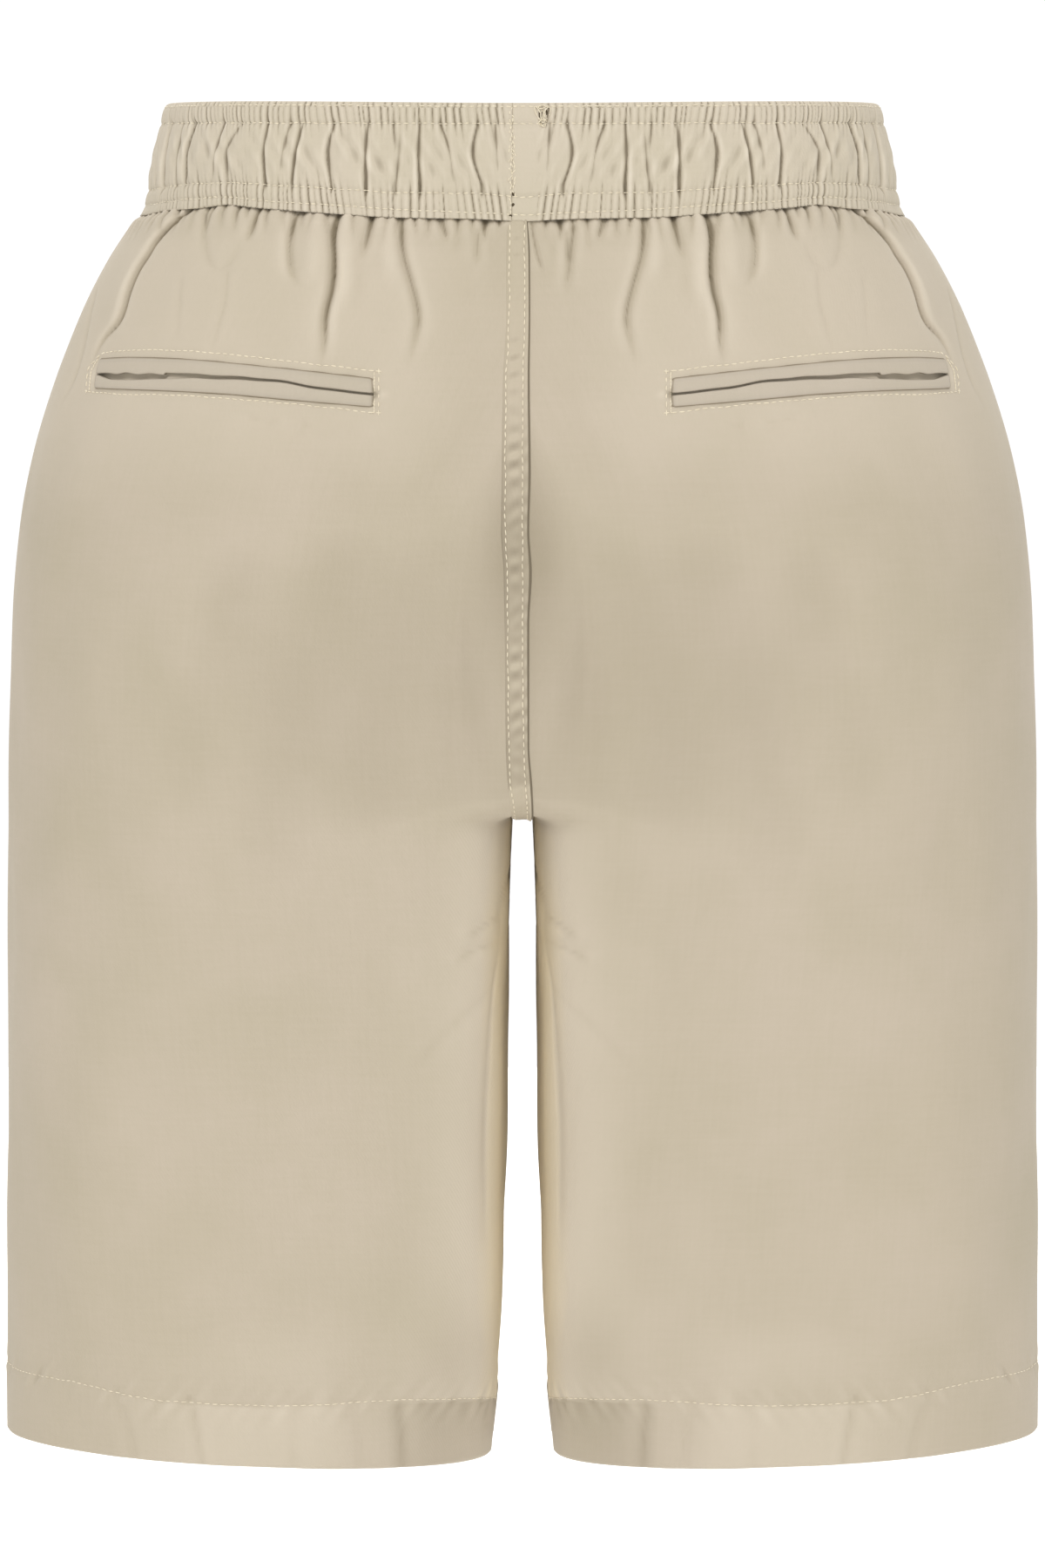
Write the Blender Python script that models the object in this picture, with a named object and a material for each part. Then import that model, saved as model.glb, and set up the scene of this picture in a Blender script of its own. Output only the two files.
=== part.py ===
"""Pull-on bermuda shorts of cotton twill in their worn, hollow form.

Metres, +Z up. The origin is the middle of the waist channel. The back of the garment faces -Y,
its front +Y, and x = 0 is the plane of the seat and rise seams. Every piece lies on one body
form: at each height a leg is a rounded outline, which x = 0 cuts off above the crotch. A point
of a piece is a share of the way from the middle to the side seam, a height, and a distance out
from the form.
"""

import math
from collections import namedtuple

import bpy
import bmesh
import numpy as np

MM = 0.001

# Cloth and sewing
CLOTH = 1.5 * MM  # wall of one layer of twill
HEM_CLOTH = 2.4 * MM  # wall where the hem is turned up
HEM_DEPTH = 25 * MM
SEAM_GAP = 0.3 * MM
HALF_GAP = SEAM_GAP / 2

# Waistband
BAND_TOP = 23.0 * MM
BAND_BOTTOM = -22.5 * MM
BAND_WALL = 3.6 * MM  # two layers of twill round an elastic
BAND_COLUMNS = 110  # on each half, two to a gather
GATHER_DEPTH = 0.45 * MM
CREASE_WIDTH = 2.6 * MM

# Seams of the body form
CROTCH = -0.252
RISE_TOP = -0.055  # below this the middle seam curves in under the body
SEAT_CURVE = 3.4  # exponents of the seat's and the front rise's curve
RISE_CURVE = 2.7
ROUNDNESS = 2.25  # exponent of the outline: 2 is an ellipse
HEM = -0.507
HEM_RISE = 7.5 * MM  # by this much the hem is higher at the side seam than at the inseam
HIPS = -0.160  # above this a row's columns are evenly spaced
THIGHS = -0.300
LEG_SHARE = 0.455  # of a row's columns are on the inner half of the leg from the thighs down

Form = namedtuple("Form", "height half_width leg_centre back front inner")
FORM = (
    Form(+0.026, 0.1405, 0.0300, 0.0970, 0.0930, 0.0000),
    Form(+0.018, 0.1424, 0.0310, 0.0980, 0.0938, 0.0000),
    Form(+0.000, 0.1460, 0.0320, 0.1005, 0.0955, 0.0000),
    Form(-0.016, 0.1494, 0.0340, 0.1030, 0.0970, 0.0000),
    Form(-0.023, 0.1537, 0.0360, 0.1058, 0.0986, 0.0000),
    Form(-0.036, 0.1624, 0.0400, 0.1098, 0.1016, 0.0000),
    Form(-0.056, 0.1735, 0.0480, 0.1148, 0.1050, 0.0000),
    Form(-0.084, 0.1850, 0.0570, 0.1199, 0.1074, 0.0000),
    Form(-0.112, 0.1932, 0.0660, 0.1233, 0.1080, 0.0000),
    Form(-0.140, 0.1984, 0.0740, 0.1247, 0.1070, 0.0000),
    Form(-0.175, 0.2019, 0.0840, 0.1244, 0.1050, 0.0000),
    Form(-0.210, 0.2030, 0.0925, 0.1218, 0.1020, 0.0000),
    Form(-0.244, 0.2036, 0.1000, 0.1170, 0.0995, 0.0000),
    Form(-0.252, 0.2037, 0.1018, 0.1157, 0.0989, 0.0002),
    Form(-0.258, 0.2038, 0.1031, 0.1148, 0.0985, 0.0043),
    Form(-0.268, 0.2040, 0.1038, 0.1135, 0.0977, 0.0046),
    Form(-0.348, 0.2046, 0.1060, 0.1045, 0.0942, 0.0067),
    Form(-0.512, 0.2044, 0.1085, 0.0925, 0.0880, 0.0119),
)

# How far the band's lower edge rises above its middle, by the distance from the middle seam.
EdgeLift = namedtuple("EdgeLift", "from_middle lift")
EDGE_LIFT = (
    EdgeLift(0 * MM, 0.0 * MM),
    EdgeLift(20 * MM, 1.1 * MM),
    EdgeLift(70 * MM, 3.0 * MM),
    EdgeLift(103 * MM, 5.5 * MM),
    EdgeLift(119 * MM, 6.8 * MM),
    EdgeLift(138 * MM, 5.6 * MM),
    EdgeLift(183 * MM, 3.6 * MM),
    EdgeLift(260 * MM, 3.5 * MM),
)
TOP_LIFT = 2.0 * MM  # of the band's upper edge at the side seam
LIFT_ENDS = -0.090  # the rows of the panels are level below this

# Rows of the band, top to bottom: share of its height, how much of a gather's depth and of a
# crease's depth shows there, and how far the casing stands out.
BandRow = namedtuple("BandRow", "down gather crease puff")
BAND_ROWS = (
    BandRow(0.000, 0.35, 0.0, -0.6 * MM),
    BandRow(0.090, 1.00, 0.0, +0.2 * MM),
    BandRow(0.175, 0.60, 0.3, -0.6 * MM),
    BandRow(0.320, 0.00, 1.0, +0.5 * MM),
    BandRow(0.480, 0.00, 1.0, +0.9 * MM),
    BandRow(0.660, 0.00, 1.0, +0.5 * MM),
    BandRow(0.800, 0.60, 0.3, -0.6 * MM),
    BandRow(0.900, 1.00, 0.0, +0.2 * MM),
    BandRow(1.000, 0.60, 0.0, -0.1 * MM),
)

# Creases of the casing between its two channels, by distance from the middle seam.
Crease = namedtuple("Crease", "from_middle depth")
BACK_CREASES = (
    Crease(19 * MM, 1.4 * MM),
    Crease(30 * MM, 0.9 * MM),
    Crease(41 * MM, 1.5 * MM),
    Crease(50 * MM, 1.1 * MM),
    Crease(61 * MM, 1.5 * MM),
    Crease(76 * MM, 1.3 * MM),
    Crease(90 * MM, 1.4 * MM),
    Crease(96 * MM, 0.8 * MM),
    Crease(103 * MM, 1.3 * MM),
    Crease(118 * MM, 1.2 * MM),
    Crease(125 * MM, 0.8 * MM),
    Crease(150 * MM, 1.0 * MM),
    Crease(176 * MM, 0.8 * MM),
)
FRONT_CREASES = (
    Crease(14 * MM, 1.2 * MM),
    Crease(27 * MM, 1.4 * MM),
    Crease(38 * MM, 0.9 * MM),
    Crease(52 * MM, 1.4 * MM),
    Crease(63 * MM, 1.1 * MM),
    Crease(78 * MM, 1.4 * MM),
    Crease(92 * MM, 0.9 * MM),
    Crease(104 * MM, 1.3 * MM),
    Crease(121 * MM, 1.2 * MM),
    Crease(137 * MM, 0.9 * MM),
    Crease(158 * MM, 1.0 * MM),
    Crease(181 * MM, 0.8 * MM),
)

# Folds of a panel under the band. A path is (distance from the middle seam, height), both in
# millimetres. Width is half the fold's width, and a negative depth is a trough.
Fold = namedtuple("Fold", "name path width depth")
BACK_FOLDS = (
    Fold("side_crease", ((141, -22), (156, -29), (165, -41), (170, -57), (184, -72)), 4.5, -3.6),
    Fold("side_ridge", ((150, -21), (166, -30), (174, -42), (179, -57), (187, -66)), 5.5, +2.2),
    Fold("hip_hollow", ((130, -22), (126, -36), (120, -42), (112, -37), (108, -24)), 5.0, -1.2),
    Fold("dart_fold", ((87, -20), (89, -26), (90, -38), (84, -46)), 4.5, -2.0),
    Fold("deep_fold", ((70, -20), (72, -29), (72, -47), (75, -58), (77, -72)), 4.5, -3.8),
    Fold("deep_ridge", ((80, -22), (81, -34), (82, -52)), 6.0, +1.4),
    Fold("short_fold", ((57, -21), (60, -29), (62, -36)), 4.5, -2.0),
    Fold("long_fold", ((46, -21), (46, -33), (42, -45), (39, -58), (42, -74)), 4.5, -2.9),
    Fold("long_ridge", ((53, -21), (53, -35), (50, -52)), 6.0, +1.3),
    Fold("pucker", ((30, -22), (28, -31)), 4.0, -1.5),
    Fold("seam_fold", ((20, -22), (18, -36), (16, -48)), 4.5, -1.6),
    Fold("seam_ridge", ((25, -24), (24, -44)), 5.0, +0.9),
)
FRONT_FOLDS = (
    Fold("front_side_crease", ((146, -22), (158, -34), (168, -52), (178, -68)), 5.0, -2.4),
    Fold("front_hip_fold", ((118, -20), (116, -34), (108, -50)), 5.0, -1.8),
    Fold("front_deep_fold", ((88, -20), (90, -40), (86, -62)), 5.0, -2.6),
    Fold("front_belly_fold", ((60, -21), (62, -38), (60, -54)), 5.0, -2.0),
    Fold("front_long_fold", ((36, -21), (35, -40), (38, -66)), 5.0, -2.2),
    Fold("front_seam_fold", ((17, -22), (16, -40)), 4.5, -1.5),
)
BLOUSE = 1.2 * MM  # the cloth stands out this much between the folds under the band
TUCK = 0.9 * MM  # and is drawn in this much at the band's edge
BLOUSE_DEPTH = 60 * MM

# Rows of the leg panels, top to bottom: the height and the columns there on the back and on the
# front. They are close at the crotch, where the middle seam turns under the body.
PanelRow = namedtuple("PanelRow", "height back_columns front_columns")
PANEL_ROWS = (
    PanelRow(BAND_BOTTOM - SEAM_GAP, 44, 32),
    PanelRow(-0.026, 44, 32),
    PanelRow(-0.031, 44, 32),
    PanelRow(-0.038, 44, 32),
    PanelRow(-0.046, 44, 32),
    PanelRow(-0.055, 44, 32),
    PanelRow(-0.065, 44, 32),
    PanelRow(-0.077, 44, 16),
    PanelRow(-0.092, 44, 16),
    PanelRow(-0.115, 20, 16),
    PanelRow(-0.145, 20, 16),
    PanelRow(-0.175, 20, 16),
    PanelRow(-0.200, 20, 16),
    PanelRow(-0.220, 20, 16),
    PanelRow(-0.234, 20, 16),
    PanelRow(-0.243, 20, 16),
    PanelRow(-0.2485, 20, 16),
    PanelRow(CROTCH, 20, 16),
    PanelRow(-0.258, 20, 16),
    PanelRow(-0.268, 20, 16),
    PanelRow(-0.310, 20, 16),
    PanelRow(-0.370, 20, 16),
    PanelRow(-0.430, 20, 16),
    PanelRow(HEM + HEM_DEPTH, 20, 16),
    PanelRow(HEM + HEM_DEPTH - 2 * MM, 20, 16),
    PanelRow(HEM, 20, 16),
)

# Flat-felled seam over the middle: its edges left and right of x = 0.
FELL_LEFT = 7.0 * MM
FELL_RIGHT = 3.0 * MM
FELL_AT_CROTCH = 4.1 * MM
FELL_THICKNESS = 1.1 * MM
FELL_LIFT = 0.6 * MM
FELL_STATIONS = 38
FELL_REACH = 14 * MM  # furthest that the tape may lie from the middle seam, in the crotch's cusp

# Welts of the back pockets: edges as (distance from the middle seam, height) in millimetres.
Welt = namedtuple("Welt", "name upper_edge lower_edge")
WELTS = (
    Welt(
        "upper",
        ((56.0, -82.0), (96.0, -77.7), (135.0, -74.5), (159.0, -74.0), (180.0, -74.6)),
        ((56.0, -87.6), (67.0, -86.5), (103.0, -81.6), (137.0, -79.9), (180.0, -79.6)),
    ),
    Welt(
        "lower",
        ((57.0, -88.5), (67.0, -87.5), (103.0, -82.7), (145.0, -82.6), (184.0, -83.0)),
        ((57.0, -93.2), (88.0, -90.8), (119.0, -88.3), (150.0, -87.0), (184.0, -86.6)),
    ),
)
WELT_STATIONS = 15
WELT_THICKNESS = 1.2 * MM
WELT_LIFT = 0.45 * MM

BACK, FRONT = "back", "front"
SIDES = (("left", -1), ("right", +1))

HEIGHT_STEP = 1 * MM
HEIGHTS = np.arange(FORM[0].height, FORM[-1].height - HEIGHT_STEP / 2, -HEIGHT_STEP)
SHARES = np.linspace(0, 1, 241)
OUTLINE_HALF = 120  # points of an outline from the middle to the leg's centre


# ---------------------------------------------------------------- the body form


def smooth(x, xs, ys):
    """A curve through the points that never overshoots them (monotone cubic)."""
    order = np.argsort(xs)
    xs = np.asarray(xs, float)[order]
    ys = np.asarray(ys, float)[order]
    step = np.diff(xs)
    slope = np.diff(ys) / step
    tangent = np.zeros_like(ys)
    tangent[0], tangent[-1] = slope[0], slope[-1]
    for i in range(1, len(xs) - 1):
        if slope[i - 1] * slope[i] > 0:
            before, after = 2 * step[i] + step[i - 1], step[i] + 2 * step[i - 1]
            tangent[i] = (before + after) / (before / slope[i - 1] + after / slope[i])
    x = np.clip(x, xs[0], xs[-1])
    i = np.clip(np.searchsorted(xs, x) - 1, 0, len(step) - 1)
    t = (x - xs[i]) / step[i]
    start = (1 + 2 * t) * (1 - t) ** 2 * ys[i] + t * (1 - t) ** 2 * step[i] * tangent[i]
    end = t * t * (3 - 2 * t) * ys[i + 1] + t * t * (t - 1) * step[i] * tangent[i + 1]
    return start + end


def smoothstep(low, high, x):
    t = np.clip((x - low) / (high - low), 0, 1)
    return t * t * (3 - 2 * t)


def form_at(z):
    """The form's sizes at one height."""
    heights = [row.height for row in FORM]
    return Form(z, *(float(smooth(z, heights, [row[k] for row in FORM])) for k in range(1, 6)))


def reach_of_middle(z, face):
    """How far out the middle seam is at a height, as a share of the outline's depth."""
    if z >= RISE_TOP:
        return 0.9995
    curve = SEAT_CURVE if face == BACK else RISE_CURVE
    down = min(1.0, (RISE_TOP - z) / (RISE_TOP - CROTCH))
    return min(0.9995, (1 - down**curve) ** (1 / curve))


def inner_half_axis(z, face, form):
    """Half axis of the outline from the leg's centre inwards, past x = 0 above the crotch."""
    if z <= CROTCH:
        return form.leg_centre - max(form.inner, HALF_GAP)
    cut = (1 - reach_of_middle(z, face) ** ROUNDNESS) ** (1 / ROUNDNESS)
    return (form.leg_centre - HALF_GAP) / cut


def outline(z, face):
    """The outline of the +X side at a height, from the middle seam or inseam to the side seam."""
    form = form_at(z)
    depth = -form.back if face == BACK else form.front
    inner = inner_half_axis(z, face, form)
    start = min(1.0, ((form.leg_centre - HALF_GAP) / inner)) if z > CROTCH else 1.0
    power = 2 / ROUNDNESS
    inwards = np.linspace(math.acos(start ** (1 / power)), math.pi / 2, OUTLINE_HALF)
    outwards = np.linspace(math.pi / 2, 0, OUTLINE_HALF)[1:]
    x_in = form.leg_centre - inner * np.abs(np.cos(inwards)) ** power
    x_out = form.leg_centre + (form.half_width - form.leg_centre) * np.abs(np.cos(outwards)) ** power
    y = depth * np.abs(np.sin(np.concatenate([inwards, outwards]))) ** power
    return np.stack([np.concatenate([x_in, x_out]), y], axis=1)


def measured(line):
    """Distance along a line of points, from its start to each of them."""
    return np.concatenate([[0], np.cumsum(np.linalg.norm(np.diff(line, axis=0), axis=1))])


def leg_centre_share(z, face):
    """Share of a row's columns between the middle and the leg's centre. It follows the length
    there down to the hips, and changes slowly where that length jumps at the crotch."""
    along = measured(outline(max(z, HIPS), face))
    evenly = along[OUTLINE_HALF - 1] / along[-1]
    return evenly + (LEG_SHARE - evenly) * smoothstep(0, HIPS - THIGHS, HIPS - z)


def tabulate(face):
    """For every height and share: a point of the outline, the way out from it, and its distance
    along the outline from the middle."""
    table = []
    turn = -1 if face == BACK else 1
    for z in HEIGHTS:
        line = outline(z, face)
        along = measured(line)
        centre = leg_centre_share(z, face)
        distance = np.interp(SHARES, [0, centre, 1], [0, along[OUTLINE_HALF - 1], along[-1]])
        x, y = (np.interp(distance, along, line[:, k]) for k in (0, 1))
        dx, dy = np.gradient(x, distance), np.gradient(y, distance)
        size = np.hypot(dx, dy)
        table.append(np.stack([x, y, -turn * dy / size, turn * dx / size, distance], axis=1))
    return np.array(table)


TABLES = {face: tabulate(face) for face in (BACK, FRONT)}


def read_form(face, share, z):
    """x, y, outward x, outward y and distance from the middle, read between the table's rows."""
    share, z = np.broadcast_arrays(np.asarray(share, float), np.asarray(z, float))
    row = np.clip((HEIGHTS[0] - z) / HEIGHT_STEP, 0, len(HEIGHTS) - 1.001)
    col = np.clip(share * (len(SHARES) - 1), 0, len(SHARES) - 1.001)
    i, j = row.astype(int), col.astype(int)
    a, b = (row - i)[..., None], (col - j)[..., None]
    table = TABLES[face]
    upper = table[i, j] * (1 - b) + table[i, j + 1] * b
    lower = table[i + 1, j] * (1 - b) + table[i + 1, j + 1] * b
    return np.moveaxis(upper * (1 - a) + lower * a, -1, 0)


def distance_at(face, share, z):
    """Distance along the form from the middle seam."""
    return read_form(face, share, z)[4]


def place(face, share, z, out):
    """Points on the +X side, moved out from the form, and kept clear of the seams' planes."""
    x, y, out_x, out_y, _ = read_form(face, share, z)
    turn = -1 if face == BACK else 1
    x = np.maximum(x + out_x * out, HALF_GAP)
    y = turn * np.maximum(turn * (y + out_y * out), HALF_GAP)
    return np.stack(np.broadcast_arrays(x, y, z), axis=-1)


# ---------------------------------------------------------------- folds and edges


def edge_lift(from_middle):
    return np.interp(from_middle, [e.from_middle for e in EDGE_LIFT], [e.lift for e in EDGE_LIFT])


def fold_relief(fold, from_middle, z):
    """Depth of one fold at a point: full at the band, none at the path's end."""
    path = np.array(fold.path) * MM
    legs = np.linalg.norm(np.diff(path, axis=0), axis=1)
    whole = legs.sum()
    nearest = np.full(np.shape(z), np.inf)
    along = np.zeros(np.shape(z))
    for start, end, leg, before in zip(path, path[1:], legs, np.cumsum(legs) - legs):
        step = (end - start) / leg
        t = np.clip((from_middle - start[0]) * step[0] + (z - start[1]) * step[1], 0, leg)
        away = np.hypot(from_middle - start[0] - t * step[0], z - start[1] - t * step[1])
        closer = away < nearest
        nearest = np.where(closer, away, nearest)
        along = np.where(closer, (before + t) / whole, along)
    fade = 1 - smoothstep(0.55, 1.0, along)
    return fold.depth * MM * fade * np.exp(-((nearest / (fold.width * MM)) ** 2))


def panel_relief(face, from_middle, z):
    """How far a panel's outer side stands out from the form."""
    below_band = BAND_BOTTOM + edge_lift(from_middle) - z
    fullness = 1 - smoothstep(0, BLOUSE_DEPTH, below_band)
    drawn_in = 1 - smoothstep(0, 9 * MM, below_band)
    relief = BLOUSE * fullness - (BLOUSE + TUCK) * drawn_in
    for fold in BACK_FOLDS if face == BACK else FRONT_FOLDS:
        relief = relief + fold_relief(fold, from_middle, z)
    by_the_seam = smoothstep(9 * MM, 20 * MM, from_middle)
    return np.where(relief > 0, relief * by_the_seam, relief)


def band_relief(face, from_middle, row, column):
    """How far the band's outer side stands out: casing, creases and one gather to two columns."""
    creases = BACK_CREASES if face == BACK else FRONT_CREASES
    relief = np.full(np.shape(from_middle), row.puff)
    for crease in creases:
        away = (from_middle - crease.from_middle) / CREASE_WIDTH
        relief = relief - crease.depth * row.crease * np.exp(-(away**2))
    by_the_side = 1 - 0.6 * smoothstep(120 * MM, 160 * MM, from_middle)
    return relief + np.where(column % 2, 1, -1) * GATHER_DEPTH * row.gather * by_the_side


# ---------------------------------------------------------------- building


def material(name, colour, roughness):
    made = bpy.data.materials.new(name)
    made.use_nodes = True
    shader = made.node_tree.nodes["Principled BSDF"]
    shader.inputs["Base Color"].default_value = (*colour, 1)
    shader.inputs["Roughness"].default_value = roughness
    shader.inputs["Metallic"].default_value = 0
    return made


def add_piece(name, points, faces, finish):
    """One closed, smooth-shaded object."""
    mesh = bpy.data.meshes.new(name)
    mesh.from_pydata([tuple(p) for p in points], [], faces)
    shell = bmesh.new()
    shell.from_mesh(mesh)
    bmesh.ops.recalc_face_normals(shell, faces=shell.faces)
    shell.to_mesh(mesh)
    shell.free()
    mesh.shade_smooth()
    mesh.materials.append(finish)
    piece = bpy.data.objects.new(name, mesh)
    bpy.data.collections["bermuda shorts"].objects.link(piece)
    return piece


def stitch_rows(upper, lower):
    """Triangles between two rows of points that may differ in number."""
    i = j = 0
    faces = []
    while i < len(upper) - 1 or j < len(lower) - 1:
        next_upper = (i + 1) / (len(upper) - 1) if i < len(upper) - 1 else math.inf
        next_lower = (j + 1) / (len(lower) - 1) if j < len(lower) - 1 else math.inf
        if next_upper <= next_lower:
            faces.append((upper[i], upper[i + 1], lower[j]))
            i += 1
        else:
            faces.append((upper[i], lower[j + 1], lower[j]))
            j += 1
    return faces


def wall(name, side, outer_rows, inner_rows, finish):
    """A closed wall between rows of outer points and rows of inner points."""
    points, faces, numbered = [], [], []
    for rows in (outer_rows, inner_rows):
        indices = []
        for row in rows:
            indices.append(list(range(len(points), len(points) + len(row))))
            points.extend((side * x, y, z) for x, y, z in row)
        for upper, lower in zip(indices, indices[1:]):
            faces += stitch_rows(upper, lower)
        numbered.append(indices)
    outer, inner = numbered
    faces += stitch_rows(outer[0], inner[0])
    faces += stitch_rows(outer[-1], inner[-1])
    faces += stitch_rows([row[0] for row in outer], [row[0] for row in inner])
    faces += stitch_rows([row[-1] for row in outer], [row[-1] for row in inner])
    return add_piece(name, points, faces, finish)


def panel_row(row, columns, face, is_inner):
    """Points of one row of a leg panel, level but for the band's edge and the hem."""
    share = np.linspace(0, 1, columns + 1)
    near_band = 1 - smoothstep(0, BAND_BOTTOM - LIFT_ENDS, BAND_BOTTOM - row.height)
    near_hem = smoothstep(0, HEM - CROTCH, row.height - CROTCH) if row.height < CROTCH else 0
    lift = edge_lift(distance_at(face, share, row.height))
    z = row.height + near_band * lift + near_hem * HEM_RISE * share
    out = panel_relief(face, distance_at(face, share, z), z)
    if is_inner:
        out = out - (HEM_CLOTH if row.height < HEM + HEM_DEPTH - MM else CLOTH)
    return place(face, share, z, out)


def leg_panel(face, side_name, side, finish):
    """A back or front panel from the band to the hem, with the turn-up as a thicker wall."""
    stacks = []
    for is_inner in (False, True):
        stacks.append([
            panel_row(row, row.back_columns if face == BACK else row.front_columns, face, is_inner)
            for row in PANEL_ROWS
        ])
    return wall(f"{face}_panel_{side_name}", side, *stacks, finish)


def band_stretch(face, columns, out_of):
    """Rows of one band stretch from the middle to the side seam, as out_of(...) sets them out."""
    share = np.linspace(0, 1, columns + 1)
    column = np.arange(columns + 1)
    rows = []
    for row in BAND_ROWS:
        top = BAND_TOP + TOP_LIFT * share
        bottom = BAND_BOTTOM + edge_lift(distance_at(face, share, BAND_BOTTOM))
        z = top + (bottom - top) * row.down
        out = out_of(face, distance_at(face, share, z), row, column)
        rows.append(place(face, share, z, out))
    return rows


def waistband(side_name, side, finish):
    """Half a band from centre back round the side to centre front."""
    half = BAND_COLUMNS // 2

    def all_round(out_of):
        back = band_stretch(BACK, half, out_of)
        front = band_stretch(FRONT, half, out_of)
        joined = []
        for back_row, front_row in zip(back, front):
            seam = (back_row[-1:] + front_row[-1:]) / 2
            joined.append(np.concatenate([back_row[:-1], seam, front_row[-2::-1]]))
        return joined

    outer = all_round(band_relief)
    inner = all_round(lambda face, from_middle, row, column: -BAND_WALL)
    return wall(f"waistband_{side_name}", side, outer, [inner[0], inner[-1]], finish)


def outside(x, y, z):
    """Above zero where a point is outside the form of its leg."""
    face = BACK if y < 0 else FRONT
    form = form_at(z)
    away = abs(x) - form.leg_centre
    across = form.half_width - form.leg_centre if away > 0 else inner_half_axis(z, face, form)
    depth = form.back if face == BACK else form.front
    return (abs(away) / across) ** ROUNDNESS + (abs(y) / depth) ** ROUNDNESS - 1


def clearance(x, y, z, direction):
    """How far to go from a point of the middle seam, along a direction, to leave the form."""
    low, high = 0.0, FELL_REACH
    for _ in range(24):
        middle = (low + high) / 2
        if outside(x, y + direction[0] * middle, z + direction[1] * middle) > 0:
            high = middle
        else:
            low = middle
    return high


def middle_seam():
    """The seat seam from the band to the crotch and the rise seam up to the band, as (y, z)."""
    top = BAND_BOTTOM - SEAM_GAP
    heights = np.concatenate([
        np.linspace(top, -0.20, 60),
        CROTCH + (-0.20 - CROTCH) * np.linspace(1, 0, 120)[1:] ** 3,
    ])
    back = [(-form_at(z).back * reach_of_middle(z, BACK), z) for z in heights]
    front = [(form_at(z).front * reach_of_middle(z, FRONT), z) for z in heights[::-1]]
    return np.array(back + front[1:])


def rise_seam(finish):
    """The felled seam: a tape along the middle seam, flat where it bridges the crotch."""
    line = middle_seam()
    along = measured(line)
    crotch = along[np.argmin(np.abs(line[:, 0]))]
    stations = np.linspace(0, along[-1], FELL_STATIONS)
    y, z = (np.interp(stations, along, line[:, k]) for k in (0, 1))
    tangent = np.stack([np.gradient(y), np.gradient(z)], axis=1)
    tangent /= np.linalg.norm(tangent, axis=1)[:, None]
    outer_rows, inner_rows = [], []
    for s, yc, zc, (ty, tz) in zip(stations, y, z, tangent):
        direction = (tz, -ty)
        at_crotch = 1 - smoothstep(20 * MM, 90 * MM, abs(s - crotch))
        left = FELL_LEFT + (FELL_AT_CROTCH - FELL_LEFT) * at_crotch
        right = FELL_RIGHT + (FELL_AT_CROTCH - FELL_RIGHT) * at_crotch
        across = np.array([-left, -left / 3, right / 3, right])
        lift = np.array([clearance(x, yc, zc, direction) for x in across])
        lift = np.maximum(lift, lift.max() * at_crotch) + FELL_LIFT
        inner_rows.append([(x, yc + direction[0] * h, zc + direction[1] * h) for x, h in zip(across, lift)])
        lift = lift + FELL_THICKNESS
        outer_rows.append([(x, yc + direction[0] * h, zc + direction[1] * h) for x, h in zip(across, lift)])
    return wall("rise_seam", 1, outer_rows, inner_rows, finish)


def pocket_welt(welt, side_name, side, finish):
    """A welt laid on the back panel: its points are the panel's, moved out."""
    upper = np.array(welt.upper_edge) * MM
    lower = np.array(welt.lower_edge) * MM
    from_middle = np.linspace(upper[0, 0], upper[-1, 0], WELT_STATIONS + 1)
    top = smooth(from_middle, upper[:, 0], upper[:, 1])
    bottom = smooth(from_middle, lower[:, 0], lower[:, 1])
    outer_rows, inner_rows = [], []
    for down in (0.0, 0.5, 1.0):
        z = top + (bottom - top) * down
        share = from_middle / distance_at(BACK, 1, z)
        under = panel_relief(BACK, from_middle, z) + WELT_LIFT
        inner_rows.append(place(BACK, share, z, under))
        outer_rows.append(place(BACK, share, z, under + WELT_THICKNESS))
    return wall(f"pocket_welt_{welt.name}_{side_name}", side, outer_rows, inner_rows, finish)


def build():
    for old in list(bpy.data.objects):
        bpy.data.objects.remove(old, do_unlink=True)
    bpy.context.scene.collection.children.link(bpy.data.collections.new("bermuda shorts"))
    for side_name, side in SIDES:
        waistband(side_name, side, material(f"waistband twill {side_name}", (0.644, 0.571, 0.445), 0.85))
        for face in (BACK, FRONT):
            finish = material(f"{face} panel twill {side_name}", (0.584, 0.503, 0.381), 0.85)
            leg_panel(face, side_name, side, finish)
        for welt in WELTS:
            finish = material(f"{welt.name} welt twill {side_name}", (0.597, 0.518, 0.392), 0.85)
            pocket_welt(welt, side_name, side, finish)
    rise_seam(material("felled seam twill", (0.546, 0.462, 0.342), 0.85))


build()
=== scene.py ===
"""Pull-on bermuda shorts of beige cotton twill, filled out with no wearer, shown from the back.

Metres, +Z up, the origin in the middle of the waist, the back of the garment towards -Y. A point
of the cloth is given by its face (back or front), its share of the way round from the middle seam
or the inseam to the side seam, or its distance that way, its height, and how far it stands out
from the body form. Paired pieces are worked out on the +X side and mirrored for the left.
"""
import math
from collections import namedtuple
from functools import partial

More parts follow.
